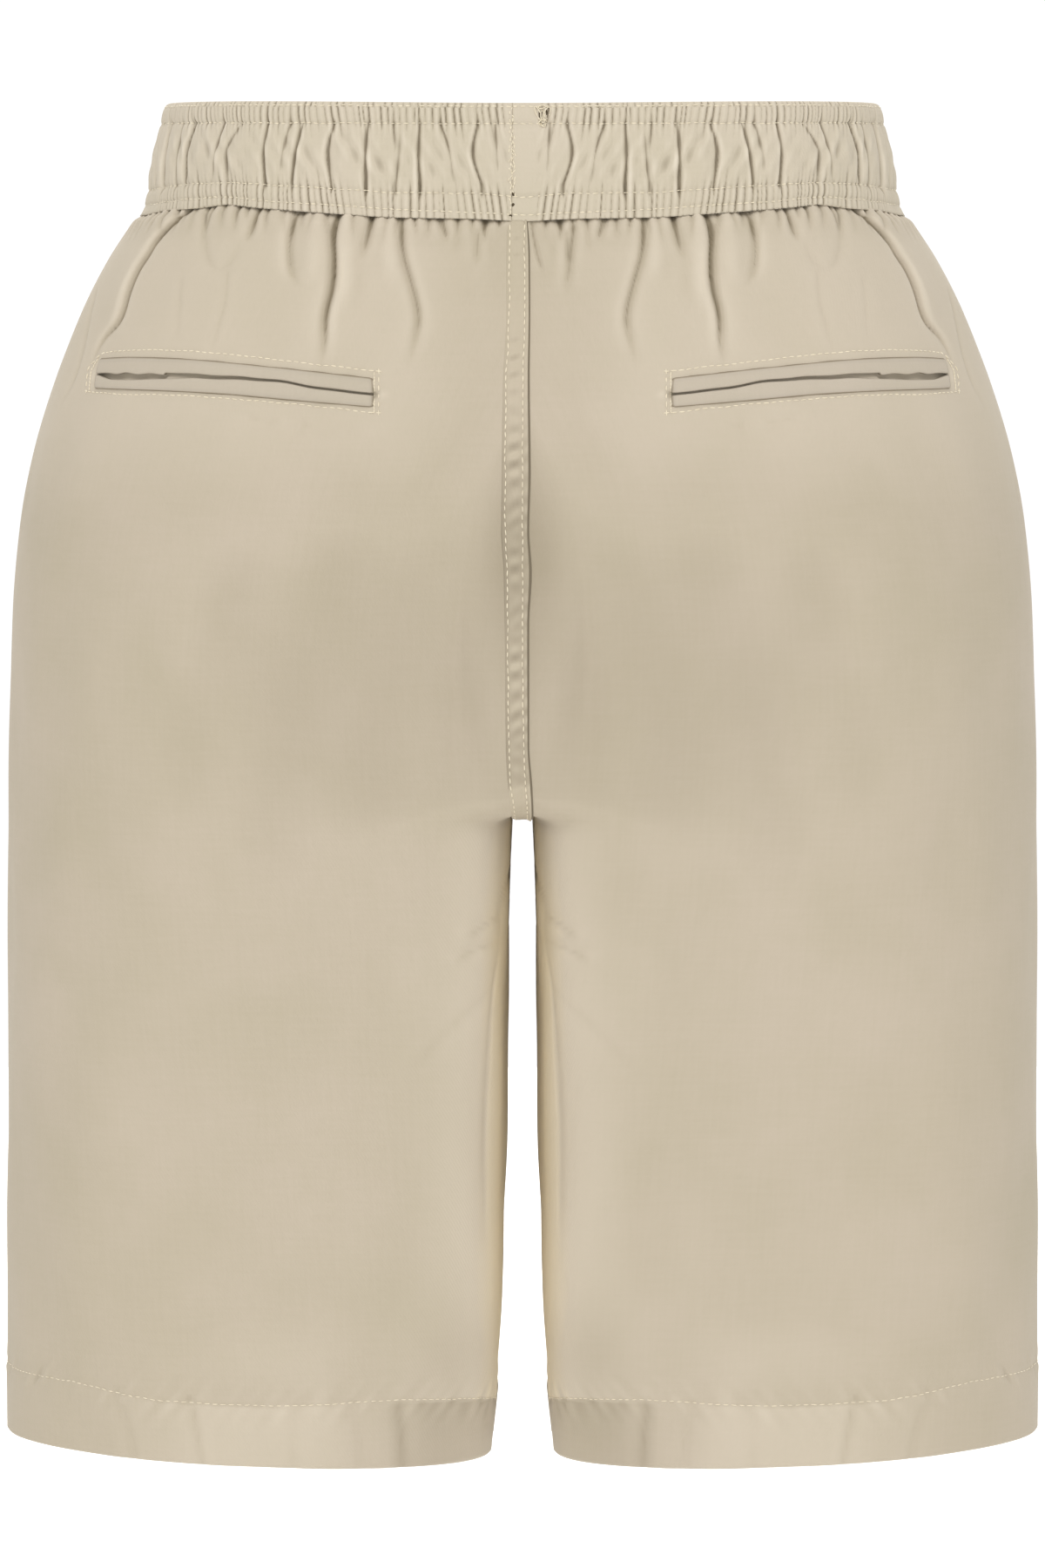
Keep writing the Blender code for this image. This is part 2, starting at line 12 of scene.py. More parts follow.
import bmesh
import bpy
import numpy as np
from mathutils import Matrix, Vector


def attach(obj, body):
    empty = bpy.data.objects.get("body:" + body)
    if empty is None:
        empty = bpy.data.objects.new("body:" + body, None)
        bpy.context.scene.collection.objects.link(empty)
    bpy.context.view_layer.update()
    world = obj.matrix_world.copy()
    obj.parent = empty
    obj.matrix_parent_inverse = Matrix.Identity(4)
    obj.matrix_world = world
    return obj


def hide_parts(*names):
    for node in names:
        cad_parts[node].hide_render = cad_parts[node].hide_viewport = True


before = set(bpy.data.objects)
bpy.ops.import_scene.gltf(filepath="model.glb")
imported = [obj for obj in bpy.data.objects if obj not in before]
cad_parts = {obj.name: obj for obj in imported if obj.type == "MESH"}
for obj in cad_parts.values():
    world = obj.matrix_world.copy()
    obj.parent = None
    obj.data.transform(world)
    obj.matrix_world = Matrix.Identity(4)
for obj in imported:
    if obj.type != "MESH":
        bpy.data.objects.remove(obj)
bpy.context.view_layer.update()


# ------------------------------------------------------------------------------- leg panels
# Four panels of light cotton twill, back and front of each leg, cut flat and closed at the side
# seam and the inseam. Their tops are gathered into the waistband, so the cloth falls from it in
# folds, and their lower ends are turned up 25 mm and stitched once round as the hem.

MM = 0.001
BACK, FRONT = "back", "front"
SIDES = (("left", -1), ("right", +1))

Form = namedtuple("Form", "height half_width leg_centre back front inner")
FORM = (
    Form(+0.030, 0.1400, 0.0298, 0.0966, 0.0927, 0.0000),
    Form(+0.018, 0.1424, 0.0310, 0.0980, 0.0938, 0.0000),
    Form(+0.000, 0.1460, 0.0320, 0.1005, 0.0955, 0.0000),
    Form(-0.016, 0.1494, 0.0340, 0.1030, 0.0970, 0.0000),
    Form(-0.023, 0.1537, 0.0360, 0.1058, 0.0986, 0.0000),
    Form(-0.036, 0.1624, 0.0400, 0.1098, 0.1016, 0.0000),
    Form(-0.056, 0.1735, 0.0480, 0.1148, 0.1050, 0.0000),
    Form(-0.084, 0.1850, 0.0570, 0.1199, 0.1074, 0.0000),
    Form(-0.112, 0.1932, 0.0660, 0.1233, 0.1080, 0.0000),
    Form(-0.140, 0.1984, 0.0740, 0.1247, 0.1070, 0.0000),
    Form(-0.175, 0.2019, 0.0840, 0.1244, 0.1050, 0.0000),
    Form(-0.210, 0.2030, 0.0925, 0.1218, 0.1020, 0.0000),
    Form(-0.244, 0.2036, 0.1000, 0.1170, 0.0995, 0.0000),
    Form(-0.252, 0.2037, 0.1018, 0.1157, 0.0989, 0.0042),
    Form(-0.258, 0.2038, 0.1031, 0.1148, 0.0985, 0.0043),
    Form(-0.268, 0.2040, 0.1038, 0.1135, 0.0977, 0.0046),
    Form(-0.348, 0.2046, 0.1060, 0.1045, 0.0942, 0.0067),
    Form(-0.512, 0.2044, 0.1085, 0.0925, 0.0880, 0.0119),
)
ROUNDNESS = 2.25  # exponent of the outline: 2 is an ellipse
INNER_ROUNDNESS = 6.0  # of the legs' inner halves, which hang flatter
CROTCH = -0.252
RISE_TOP = -0.055  # below this the middle seam curves in under the body
SEAM_CURVE = {BACK: 13.0, FRONT: 3.2}  # how squarely the middle seam turns under to the crotch
THIGH_CURVE = 3.4  # the same for the cloth beside it, which turns more gently
INSEAM_REACH = 0.050  # below the crotch, over which the thighs part to the inseams
HIPS, THIGHS = -0.160, -0.300
LEG_SHARE = 0.455  # of a row's points are on the inner half of the leg from the thighs down
CROTCH_PACE = 0.05  # at the crotch a row's points are spaced mostly by how far across they are
HEM = -0.507
HEM_RISE = 8.0 * MM  # how much higher the hem's edge is at the side seam than at the inseam
HEM_DEPTH = 25 * MM
BAND_BOTTOM = -22.5 * MM
LIFT_DEPTH = 67.5 * MM  # below the band, over which the rows follow its edge less and less
HALF_GAP = 0.06 * MM  # from the left half to the middle, and from the middle to the right half

HEIGHT_STEP = 1 * MM
HEIGHTS = np.arange(FORM[0].height, FORM[-1].height - HEIGHT_STEP / 2, -HEIGHT_STEP)
SHARES = np.linspace(0, 1, 361)  # of the way to the side seam, where a row of the table has points
OUTLINE_HALF = 140  # points of a row's inner half, and of its outer half


def smooth(x, xs, ys):
    """A curve through the points that never overshoots them (monotone cubic)."""
    order = np.argsort(xs)
    xs = np.asarray(xs, float)[order]
    ys = np.asarray(ys, float)[order]
    step = np.diff(xs)
    slope = np.diff(ys) / step
    tangent = np.zeros_like(ys)
    tangent[0], tangent[-1] = slope[0], slope[-1]
    for i in range(1, len(xs) - 1):
        if slope[i - 1] * slope[i] > 0:
            before, after = 2 * step[i] + step[i - 1], step[i] + 2 * step[i - 1]
            tangent[i] = (before + after) / (before / slope[i - 1] + after / slope[i])
    x = np.clip(x, xs[0], xs[-1])
    i = np.clip(np.searchsorted(xs, x) - 1, 0, len(step) - 1)
    t = (x - xs[i]) / step[i]
    start = (1 + 2 * t) * (1 - t) ** 2 * ys[i] + t * (1 - t) ** 2 * step[i] * tangent[i]
    end = t * t * (3 - 2 * t) * ys[i + 1] + t * t * (t - 1) * step[i] * tangent[i + 1]
    return start + end


def smoothstep(low, high, x):
    t = np.clip((x - low) / (high - low), 0, 1)
    return t * t * (3 - 2 * t)


def read_table(rows, x, *columns):
    """The numbered columns of a table, read at any values of its first column."""
    firsts = [row[0] for row in rows]
    return [smooth(x, firsts, [row[k] for row in rows]) for k in columns]


def body_sizes(z):
    """The form's sizes at any heights."""
    return Form(z, *read_table(FORM, z, 1, 2, 3, 4, 5))


def inner_roundness(z):
    flatter = smoothstep(-0.160, -0.245, z) * (1 - 0.85 * smoothstep(-0.420, -0.495, z))
    return ROUNDNESS + (INNER_ROUNDNESS - ROUNDNESS) * flatter


def reach_of_middle(z, curve):
    """How far out the middle seam is at a height, as a share of the outline's depth."""
    down = np.clip((RISE_TOP - z) / (RISE_TOP - CROTCH), 0, 1)
    return np.minimum(0.9995, (1 - down**curve) ** (1 / curve))


def inner_half_axis(z, curve, edge, sizes):
    """Half axis of the outline from the leg's centre inwards, past x = 0 above the crotch."""
    power = inner_roundness(z)
    cut = (1 - reach_of_middle(np.maximum(z, CROTCH), curve) ** power) ** (1 / power)
    above = (sizes.leg_centre - HALF_GAP) / np.maximum(cut, 1e-6)
    return np.where(z <= CROTCH, sizes.leg_centre - edge, above)


def leg_edge(z, sizes):
    """Where the inner end of the outline is: on the middle seam, or on the inseam."""
    return np.where(z <= CROTCH, np.maximum(sizes.inner, HALF_GAP), HALF_GAP)


def half_axis_at(part, z, face, sizes):
    """The inner half axis some part of the way from the leg's centre to the seam: next to the seam
    it follows the crotch, and further off it changes slowly, so that no fold forms there."""
    edge = leg_edge(z, sizes)
    by_seam = inner_half_axis(z, SEAM_CURVE[face], edge, sizes)
    parted = 1 - (1 - np.clip((CROTCH - z) / INSEAM_REACH, 0, 1)) ** 2
    further = inner_half_axis(z, THIGH_CURVE, edge * parted, sizes)
    return further + (by_seam - further) * smoothstep(0.70, 1.0, part)


def body_table(face):
    """For every height and share: a point of the outline of the +X side, the way out from it, and
    its distance along the outline from the middle."""
    z = HEIGHTS[:, None]
    sizes = body_sizes(z)
    depth = -sizes.back if face == BACK else sizes.front
    inner = inner_half_axis(z, SEAM_CURVE[face], leg_edge(z, sizes), sizes)
    start = np.where(z > CROTCH, np.minimum(1, (sizes.leg_centre - HALF_GAP) / inner), 1)
    power, inner_power = 2 / ROUNDNESS, 2 / inner_roundness(z)
    turned = np.linspace(0, 1, OUTLINE_HALF)
    inwards = np.arccos(start ** (1 / inner_power))
    inwards = inwards + (math.pi / 2 - inwards) * turned
    outwards = np.broadcast_to(math.pi / 2 * (1 - turned[1:]), (len(z), OUTLINE_HALF - 1))
    inner_x = np.abs(np.cos(inwards)) ** inner_power
    x_in = sizes.leg_centre - inner * inner_x
    x_out = sizes.leg_centre + (sizes.half_width - sizes.leg_centre) * np.abs(np.cos(outwards)) ** power
    x = np.concatenate([x_in, x_out], axis=1)
    half_axis = half_axis_at(inner_x / inner_x[:, :1], z, face, sizes)
    inner_x = np.clip(inner_x * inner / half_axis, 0, 1)
    y_in = (1 - inner_x ** (2 / inner_power)) ** (inner_power / 2)
    y = depth * np.concatenate([y_in, np.abs(np.sin(outwards)) ** power], axis=1)

    # The points are spaced by the way along the row, which near the crotch counts less for depth.
    pace = np.ones_like(y[:, 1:])
    slowed = 1 - smoothstep(12 * MM, 60 * MM, np.abs(z - CROTCH))
    pace[:, : OUTLINE_HALF - 1] -= (1 - CROTCH_PACE) * slowed
    along, paced = (
        np.pad(np.cumsum(np.hypot(np.diff(x), np.diff(y) * by), axis=1), ((0, 0), (1, 0))) for by in (1, pace)
    )
    at_hips = np.argmin(np.abs(HEIGHTS - HIPS))
    evenly = along[:, OUTLINE_HALF - 1] / along[:, -1]
    evenly = np.where(HEIGHTS < HIPS, evenly[at_hips], evenly)
    share = evenly + (LEG_SHARE - evenly) * smoothstep(0, HIPS - THIGHS, HIPS - HEIGHTS)
    turn = -1 if face == BACK else 1
    table = []
    for i, middle in enumerate(share):
        reached = np.interp(SHARES, [0, middle, 1], [0, paced[i, OUTLINE_HALF - 1], paced[i, -1]])
        distance = np.interp(reached, paced[i], along[i])
        px, py = np.interp(distance, along[i], x[i]), np.interp(distance, along[i], y[i])
        dx, dy = np.gradient(px, distance), np.gradient(py, distance)
        size = np.hypot(dx, dy)
        table.append(np.stack([px, py, -turn * dy / size, turn * dx / size, distance], axis=1))
    return np.array(table)


BODY = {face: body_table(face) for face in (BACK, FRONT)}


def read_body(face, share, z):
    """x, y, outward x, outward y and distance from the middle, read between the table's rows."""
    share, z = np.broadcast_arrays(np.asarray(share, float), np.asarray(z, float))
    row = np.clip((HEIGHTS[0] - z) / HEIGHT_STEP, 0, len(HEIGHTS) - 1.001)
    col = np.clip(share * (len(SHARES) - 1), 0, len(SHARES) - 1.001)
    i, j = row.astype(int), col.astype(int)
    a, b = (row - i)[..., None], (col - j)[..., None]
    table = BODY[face]
    upper = table[i, j] * (1 - b) + table[i, j + 1] * b
    lower = table[i + 1, j] * (1 - b) + table[i + 1, j + 1] * b
    return np.moveaxis(upper * (1 - a) + lower * a, -1, 0)


def from_middle(face, share, z):
    return read_body(face, share, z)[4]


def hem_rise(face, share):
    """How much higher the hem's edge is than at the inseam, evenly more towards the side seam."""
    inseam, here, side_seam = (read_body(face, s, HEM)[0] for s in (0, share, 1))
    return HEM_RISE * (here - inseam) / (side_seam - inseam)


def on_body(face, share, z, out):
    """Points of the +X side, moved out from the form, and kept on their side of the seams."""
    x, y, out_x, out_y, _ = read_body(face, share, z)
    turn = -1 if face == BACK else 1
    x = np.maximum(x + out_x * out, HALF_GAP)
    y = turn * np.maximum(turn * (y + out_y * out), HALF_GAP)
    return np.stack(np.broadcast_arrays(x, y, z), axis=-1)


# Rows of the waistband and its lower edge, as heights in millimetres by the distance from the
# middle: the panels hang from the edge, and the stitching follows the rows.
BandLine = namedtuple("BandLine", "from_middle bottom lowest lower upper")
BAND_LINES = (
    BandLine(0, -22.5, -20.0, -13.2, 15.0),
    BandLine(20, -21.5, -19.0, -11.7, 15.0),
    BandLine(47, -21.0, -17.9, -11.4, 15.1),
    BandLine(70, -19.5, -16.3, -10.0, 15.3),
    BandLine(103, -17.0, -14.2, -8.0, 15.6),
    BandLine(119, -15.6, -12.7, -7.2, 15.9),
    BandLine(138, -17.0, -13.2, -7.4, 16.2),
    BandLine(160, -17.6, -14.2, -8.2, 16.6),
    BandLine(184, -19.0, -15.0, -9.0, 16.9),
    BandLine(240, -19.2, -15.4, -9.4, 17.0),
)


def band_line(name, distance):
    """Height of one of the band's lines."""
    return read_table(BAND_LINES, np.abs(distance) / MM, BandLine._fields.index(name))[0] * MM


# Folds of the cloth. A path is (distance from the middle, height) in millimetres. Near and far
# are the fold's widths on its side towards the middle and away from it: a narrow one is steep.
Fold = namedtuple("Fold", "path near far depth")
BACK_FOLDS = (
    Fold(((141, -17), (150, -23.5), (157, -29), (160, -34.5), (165, -40), (169, -49), (170.5, -57),
          (174, -62), (180.6, -66), (185, -72), (188, -83)), 2.2, 0.7, -3.6),
    Fold(((148, -17), (158, -25), (166, -35), (172, -46), (176, -57), (182, -64)), 3.2, 10.0, +0.8),
    Fold(((130, -17), (126, -35.5), (120, -41.5), (112, -37.5), (109, -25)), 3.6, 3.6, -0.9),
    Fold(((103.6, -17), (105.6, -25), (107.7, -31)), 1.5, 1.9, -2.2),
    Fold(((86.7, -18), (89, -24), (90, -29.5), (90, -36), (88.7, -43.5), (83.4, -48)), 3.4, 1.1, -2.2),
    Fold(((70.4, -19), (72.2, -28), (71.5, -38.5), (72, -47.5), (75, -58.5), (75, -69.5), (77, -80)),
         0.75, 2.6, -4.0),
    Fold(((66, -22), (67, -34), (66.5, -46), (70, -60)), 3.5, 3.5, +1.5),
    Fold(((79, -23), (80, -36), (80, -50)), 4.5, 4.5, +1.2),
    Fold(((57.4, -20), (59, -29), (61.6, -38)), 1.4, 2.0, -2.0),
    Fold(((45.7, -19), (46, -33.5), (42.6, -44.5), (39, -58), (40.3, -66), (43.8, -80)), 1.2, 2.4, -2.5),
    Fold(((51, -23), (51, -36), (48, -48)), 4.0, 4.0, +1.2),
    Fold(((30.7, -20), (28.4, -31)), 1.4, 2.0, -1.9),
    Fold(((15.3, -20), (13.9, -31)), 1.3, 1.3, -1.6),
    Fold(((16.9, -27), (17.5, -40)), 1.6, 1.6, -1.3),
    Fold(((11.7, -22), (11.7, -40)), 2.8, 2.8, -0.9),
    Fold(((202, -50), (195, -78), (212, -98)), 1.6, 1.6, -0.7),
    Fold(((115, -42), (115, -53), (118.5, -64.5), (121, -76)), 0.7, 1.1, -0.4),
    Fold(((83, -100.5), (74, -102), (66, -101), (56, -103)), 1.2, 2.6, -0.8),
    Fold(((104, -97), (96, -99), (90, -98)), 1.2, 2.2, -0.5),
    Fold(((136.5, -45), (136, -70)), 1.4, 1.4, -0.35),
)
RIGHT_BACK_FOLDS = (
    Fold(((3.4, -25), (5.4, -36), (9.4, -46)), 1.2, 2.4, -2.3),
    Fold(((19.5, -25), (17.7, -39), (16.4, -52)), 1.5, 2.2, -1.8),
)
# Soft creases of both faces of the legs. Their paths are (place across from x = 0, height).
LEG_FOLDS = (
    Fold(((9, -290.5), (14.5, -293), (22, -298)), 1.2, 2.4, -0.95),
    Fold(((10, -300.5), (18, -302), (27, -306.5)), 1.2, 2.6, -1.0),
    Fold(((12, -318), (30, -333), (46, -352)), 2.5, 2.5, -0.35),
    Fold(((36, -470), (45, -477), (54, -485)), 1.8, 1.8, -0.35),
    Fold(((66, -478), (62, -492), (60, -530)), 2.6, 3.6, -0.60),
    Fold(((56, -480), (53, -530)), 3.4, 3.4, +0.35),
    Fold(((48, -478), (45, -500), (46, -540)), 3.4, 2.8, -0.70),
    Fold(((128, -477), (124, -500), (121, -540)), 1.4, 2.6, -0.75),
    Fold(((158, -478), (151, -492), (149, -540)), 2.6, 3.6, -0.70),
    Fold(((90, -479), (88, -530)), 3.5, 3.5, -0.35),
)
# The inseam's ridge, seen a little inside the leg's edge below the crotch.
INSEAM_LINE = Fold(((4.8, -276), (7.4, -285), (6.6, -299), (9.2, -313.5), (11, -325), (12.4, -345),
                    (13.5, -390), (14, -440)), 0.5, 1.9, -0.85)
FRONT_FOLDS = (
    Fold(((146, -17), (158, -34), (168, -52), (178, -72)), 2.4, 3.0, -2.6),
    Fold(((118, -15), (116, -34), (108, -54)), 2.0, 3.0, -2.0),
    Fold(((88, -17), (90, -40), (86, -66)), 1.8, 2.6, -2.9),
    Fold(((60, -19), (62, -38), (60, -58)), 2.0, 2.6, -2.2),
    Fold(((36, -20), (35, -40), (38, -70)), 1.8, 2.4, -2.5),
    Fold(((17, -20), (16, -44)), 1.8, 2.2, -1.7),
    Fold(((74, -22), (76, -48)), 5.0, 5.0, +1.2),
    Fold(((48, -22), (49, -46)), 5.0, 5.0, +1.1),
)
FOLD_SHARPNESS = 1.0  # 1 is a knife-edged fold, 2 is a round one
BLOUSE = 1.5 * MM  # how far the cloth stands out under the band
BLOUSE_DEPTH = 55 * MM
TUCK = 0.5 * MM  # how far it is drawn in at the band's edge
SIDE_TUCK = 0.5 * MM  # at the side seams, where the band pulls less
TUCK_DEPTH = 3.6 * MM
NOTCH = 1.6  # times as deep again as further down is each small fold at the band's edge
NOTCH_DEPTH = 2.6 * MM


def round_corners(path):
    """The path with its corners cut off twice, for cloth doesn't turn in sharp ones."""
    for _ in range(2):
        starts, ends = path[:-1], path[1:]
        cut = np.stack([0.75 * starts + 0.25 * ends, 0.25 * starts + 0.75 * ends], axis=1)
        path = np.concatenate([path[:1], cut.reshape(-1, 2), path[-1:]])
    return path


def fold_relief(fold, distance, z):
    """Depth of one fold at each point: full at its top, none at its end."""
    path = round_corners(np.array(fold.path) * MM)
    reach = 4 * max(fold.near, fold.far) * MM
    low, high = path.min(axis=0) - reach, path.max(axis=0) + reach
    close = (distance > low[0]) & (distance < high[0]) & (z > low[1]) & (z < high[1])
    relief = np.zeros(np.shape(z))
    s, h = distance[close], z[close]
    legs = np.linalg.norm(np.diff(path, axis=0), axis=1)
    nearest, along, side = np.full(len(s), np.inf), np.zeros(len(s)), np.zeros(len(s))
    for start, end, leg, before in zip(path, path[1:], legs, np.cumsum(legs) - legs):
        step = (end - start) / leg
        t = np.clip((s - start[0]) * step[0] + (h - start[1]) * step[1], 0, leg)
        away = np.hypot(s - start[0] - t * step[0], h - start[1] - t * step[1])
        closer = away < nearest
        nearest = np.where(closer, away, nearest)
        along = np.where(closer, (before + t) / legs.sum(), along)
        side = np.where(closer, (s - start[0]) * step[1] - (h - start[1]) * step[0], side)
    width = np.where(side > 0, fold.near, fold.far) * MM
    sharpness = FOLD_SHARPNESS if fold.depth < 0 else 2
    shape = np.exp(-((nearest / width) ** sharpness))
    relief[close] = fold.depth * MM * (1 - smoothstep(0.6, 1.0, along)) * shape
    return relief


Gather = namedtuple("Gather", "at depth length width slant")


def gathers(seed, first, last):
    """Small folds where the panel is eased onto the band, in metres, from a fixed seed."""
    rng = np.random.default_rng(seed)
    made, at = [], first
    while at < last:
        depth, length = rng.uniform(0.45, 1.15), rng.uniform(5, 15)
        made.append(Gather(at, depth * MM, length * MM, rng.uniform(0.8, 1.5) * MM, rng.uniform(-0.25, 0.25)))
        at += rng.uniform(3.4, 7.6) * MM
    return made


GATHERS = {BACK: gathers(7, 9 * MM, 0.206), FRONT: gathers(19, 9 * MM, 0.202)}


# Slow waves of hanging cloth, by their usual lengths across and down, and their height.
Waves = namedtuple("Waves", "seed across down height")
WAVE_COUNT = 7
SEAT_WAVES = Waves(31, 0.050, 0.110, 0.38 * MM)
LEG_WAVES = Waves(43, 0.085, 0.330, 0.90 * MM)
HEM_WAVES = Waves(57, 0.010, 0.022, 0.26 * MM)


def drape(distance, z, waves):
    """The sum of a few such waves, from a fixed seed."""
    rng = np.random.default_rng(waves.seed)
    total = np.zeros(np.shape(z))
    for _ in range(WAVE_COUNT):
        k = 2 * math.pi / (waves.across * rng.uniform(0.7, 1.6))
        m = 2 * math.pi / (waves.down * rng.uniform(0.7, 1.6))
        total = total + np.cos(k * distance + rng.choice([-1, 1]) * m * z + rng.uniform(0, 2 * math.pi))
    return waves.height * total / math.sqrt(WAVE_COUNT)


# Level lines, as (distance from the middle seam or the inseam, height) in millimetres: the hem's
# stitches, then the mouth, the seams and the frame of the back pocket.
HEM_STITCH = ((0, -487.5), (16, -486.5), (73, -480.0), (106, -478.0), (150, -479.0), (195, -477.5),
              (241, -472.8), (305, -472.5))
POCKET_MOUTH = ((56, -87.9), (67, -86.8), (103, -81.9), (128, -80.7), (140.5, -80.1), (141.6, -81.0),
                (148, -80.6), (154, -81.0), (161, -80.3), (166, -80.8), (172, -80.4), (181, -80.9))
UPPER_WELT_SEAM = ((56, -82.0), (96, -77.7), (135, -74.6), (159, -74.1), (181, -74.8))
LOWER_WELT_SEAM = ((57, -93.2), (88, -90.7), (119, -88.2), (150, -87.0), (184, -86.4))
POCKET_TOP = ((54.6, -79.5), (86, -76), (118, -72.7), (138, -71.6), (155, -71.5), (179, -72.7))
POCKET_FOOT = ((55, -95.3), (86, -92.0), (118, -89.6), (138, -88.6), (162, -88.5), (187, -87.4))


def path_height(path, distance):
    """Height of a level line at distances in metres."""
    return read_table(path, np.abs(distance) / MM, 1)[0] * MM


def bell(x, width):
    return np.exp(-((x / width) ** 2))


HEM_TURN = 0.30 * MM  # how far the doubled hem stands out, and how deep its stitches sink in
HEM_ROLL = 0.9 * MM  # how far the hem's edge is rolled in
HEM_CURL = 1.5 * MM  # how far its end at the inseam curls in


def hem_relief(face, share, across, distance, z):
    """The hem: turned up from its row of stitches down, and roped by the pull of the thread."""
    from_stitch = z - path_height(HEM_STITCH, distance)
    turned_up = HEM_TURN * (1 - smoothstep(-2.2 * MM, 1.0 * MM, from_stitch))
    sunk = HEM_TURN * bell(from_stitch, 0.9 * MM)
    roped = drape(distance, distance * 0.7 + z, HEM_WAVES) * bell(from_stitch, 7 * MM)
    rolled = HEM_ROLL * (1 - smoothstep(0, 1.3 * MM, z - HEM - hem_rise(face, share))) ** 2
    curled = HEM_CURL * (1 - smoothstep(40 * MM, 75 * MM, across)) * smoothstep(0, HEM_DEPTH, -from_stitch)
    return turned_up + roped - sunk - rolled - curled


def hang_relief(face, side_name, share, z):
    """How far a panel's outer side stands out from the form, but for its pocket."""
    across, distance = read_body(face, share, z)[::4]
    below = band_line("bottom", distance) - z
    at_side = smoothstep(150 * MM, 200 * MM, distance)
    tuck = TUCK + (SIDE_TUCK - TUCK) * at_side
    drawn = 1 - smoothstep(-0.5 * MM, TUCK_DEPTH * (1 - 0.5 * at_side), below)
    relief = BLOUSE * (1 - smoothstep(0, BLOUSE_DEPTH, below)) - (BLOUSE + tuck) * drawn
    folds = FRONT_FOLDS
    if face == BACK:
        folds = BACK_FOLDS + (RIGHT_BACK_FOLDS if side_name == "right" else ())
    for fold in folds:
        relief = relief + fold_relief(fold, distance, z)
    for fold in LEG_FOLDS + ((INSEAM_LINE,) if face == BACK else ()):
        relief = relief + fold_relief(fold, across, z)
    for gather in GATHERS[face]:
        at = gather.at + gather.slant * below
        fade = 1 - smoothstep(0.3 * gather.length, gather.length, below)
        fade = fade + NOTCH * np.exp(-np.maximum(below, 0) / NOTCH_DEPTH)
        relief = relief - gather.depth * fade * np.exp(-((np.abs(distance - at) / gather.width) ** 1.3))
    # Beside the middle seam no fold stands out above the crotch, for the felled seam lies there.
    beside_seam = (1 - smoothstep(7 * MM, 18 * MM, distance)) * smoothstep(CROTCH, HIPS, z)
    relief = np.where(relief > 0, relief * (1 - beside_seam), relief)

    from_side = from_middle(face, 1, z) - distance
    seat = drape(from_side, z, SEAT_WAVES) * smoothstep(0, 0.03, below)
    legs = drape(from_side, z, LEG_WAVES) * smoothstep(-0.24, -0.36, z)
    off_seams = smoothstep(0, 0.02, distance) * smoothstep(0, 0.02, from_side)
    return relief + (seat + legs) * off_seams + hem_relief(face, share, across, distance, z)


POCKET_ENDS = ((53 * MM, 57 * MM), (180 * MM, 184 * MM))  # over these its relief comes in and goes out


def pocket_relief(distance, z):
    """The pocket's mouth, open over its outer half, and the dents of the stitching round it."""
    (begins, full), (ends, gone) = POCKET_ENDS
    inside = smoothstep(begins, full, distance) * (1 - smoothstep(ends, gone, distance))
    gape = 1.0 + 0.9 * smoothstep(137 * MM, 165 * MM, distance)
    mouth = bell(z - path_height(POCKET_MOUTH, distance) + 0.5 * MM * gape, 1.3 * MM * gape)
    stitched, sunk = (
        sum(bell(z - path_height(path, distance), 0.7 * MM) for path in paths)
        for paths in ((POCKET_TOP, POCKET_FOOT), (UPPER_WELT_SEAM, LOWER_WELT_SEAM))
    )
    return -inside * (2.2 * MM * mouth + 0.28 * MM * stitched + 0.45 * MM * sunk)


def panel_relief(face, side_name, share, z):
    relief = hang_relief(face, side_name, share, z)
    return relief + pocket_relief(from_middle(face, share, z), z) if face == BACK else relief


PanelBlock = namedtuple("PanelBlock", "down_to step back_columns front_columns")
PANEL_BLOCKS = (
    PanelBlock(-0.0585, 0.90 * MM, 340, 180),
    PanelBlock(-0.1000, 1.20 * MM, 340, 180),
    PanelBlock(-0.2500, 2.60 * MM, 220, 120),
    PanelBlock(-0.3300, 1.50 * MM, 300, 150),
    PanelBlock(-0.4620, 3.80 * MM, 220, 120),
    PanelBlock(HEM + 2 * MM, 1.30 * MM, 180, 100),
    PanelBlock(HEM, 0.50 * MM, 180, 100),
)
CLOTH = 0.9 * MM  # wall of one layer, about twice that of light twill so that it stays closed
HEM_CLOTH = 2.0 * MM


def panel_rows(face):
    """Height and columns of each row of a panel, from its top, tucked under the band, to its hem."""
    column = 2 if face == BACK else 3
    z, rows = BAND_BOTTOM + 0.6 * MM, []
    for block in PANEL_BLOCKS:
        count = max(1, round((z - block.down_to) / block.step))
        rows += [(h, block[column]) for h in np.linspace(z, block.down_to, count + 1)[:-1]]
        z = block.down_to
    return rows + [(HEM, PANEL_BLOCKS[-1][column])]


def lowest_nearby(values, reach):
    """The lowest of the values within reach of each, along a row."""
    padded = np.pad(values, reach, mode="edge")
    return np.min([padded[k : k + len(values)] for k in range(2 * reach + 1)], axis=0)


def spread(values, reach):
    """The mean of the values within reach of each, along a row."""
    padded = np.pad(values, reach, mode="edge")
    sums = np.cumsum(np.concatenate([[0], padded]))
    return (sums[2 * reach + 1 :] - sums[: -2 * reach - 1]) / (2 * reach + 1)


def zipped(upper, lower):
    """Triangles between two rows of point numbers, which may differ in count."""
    faces, i, j = [], 0, 0
    while i < len(upper) - 1 or j < len(lower) - 1:
        if (i + 1) * (len(lower) - 1) <= (j + 1) * (len(upper) - 1):
            faces.append((upper[i], upper[i + 1], lower[j]))
            i += 1
        else:
            faces.append((upper[i], lower[j + 1], lower[j]))
            j += 1
    return faces


def placed(name, data):
    """An object for a mesh, lamp or camera, in the scene at the origin."""
    thing = bpy.data.objects.new(name, data)
    bpy.context.scene.collection.objects.link(thing)
    return thing


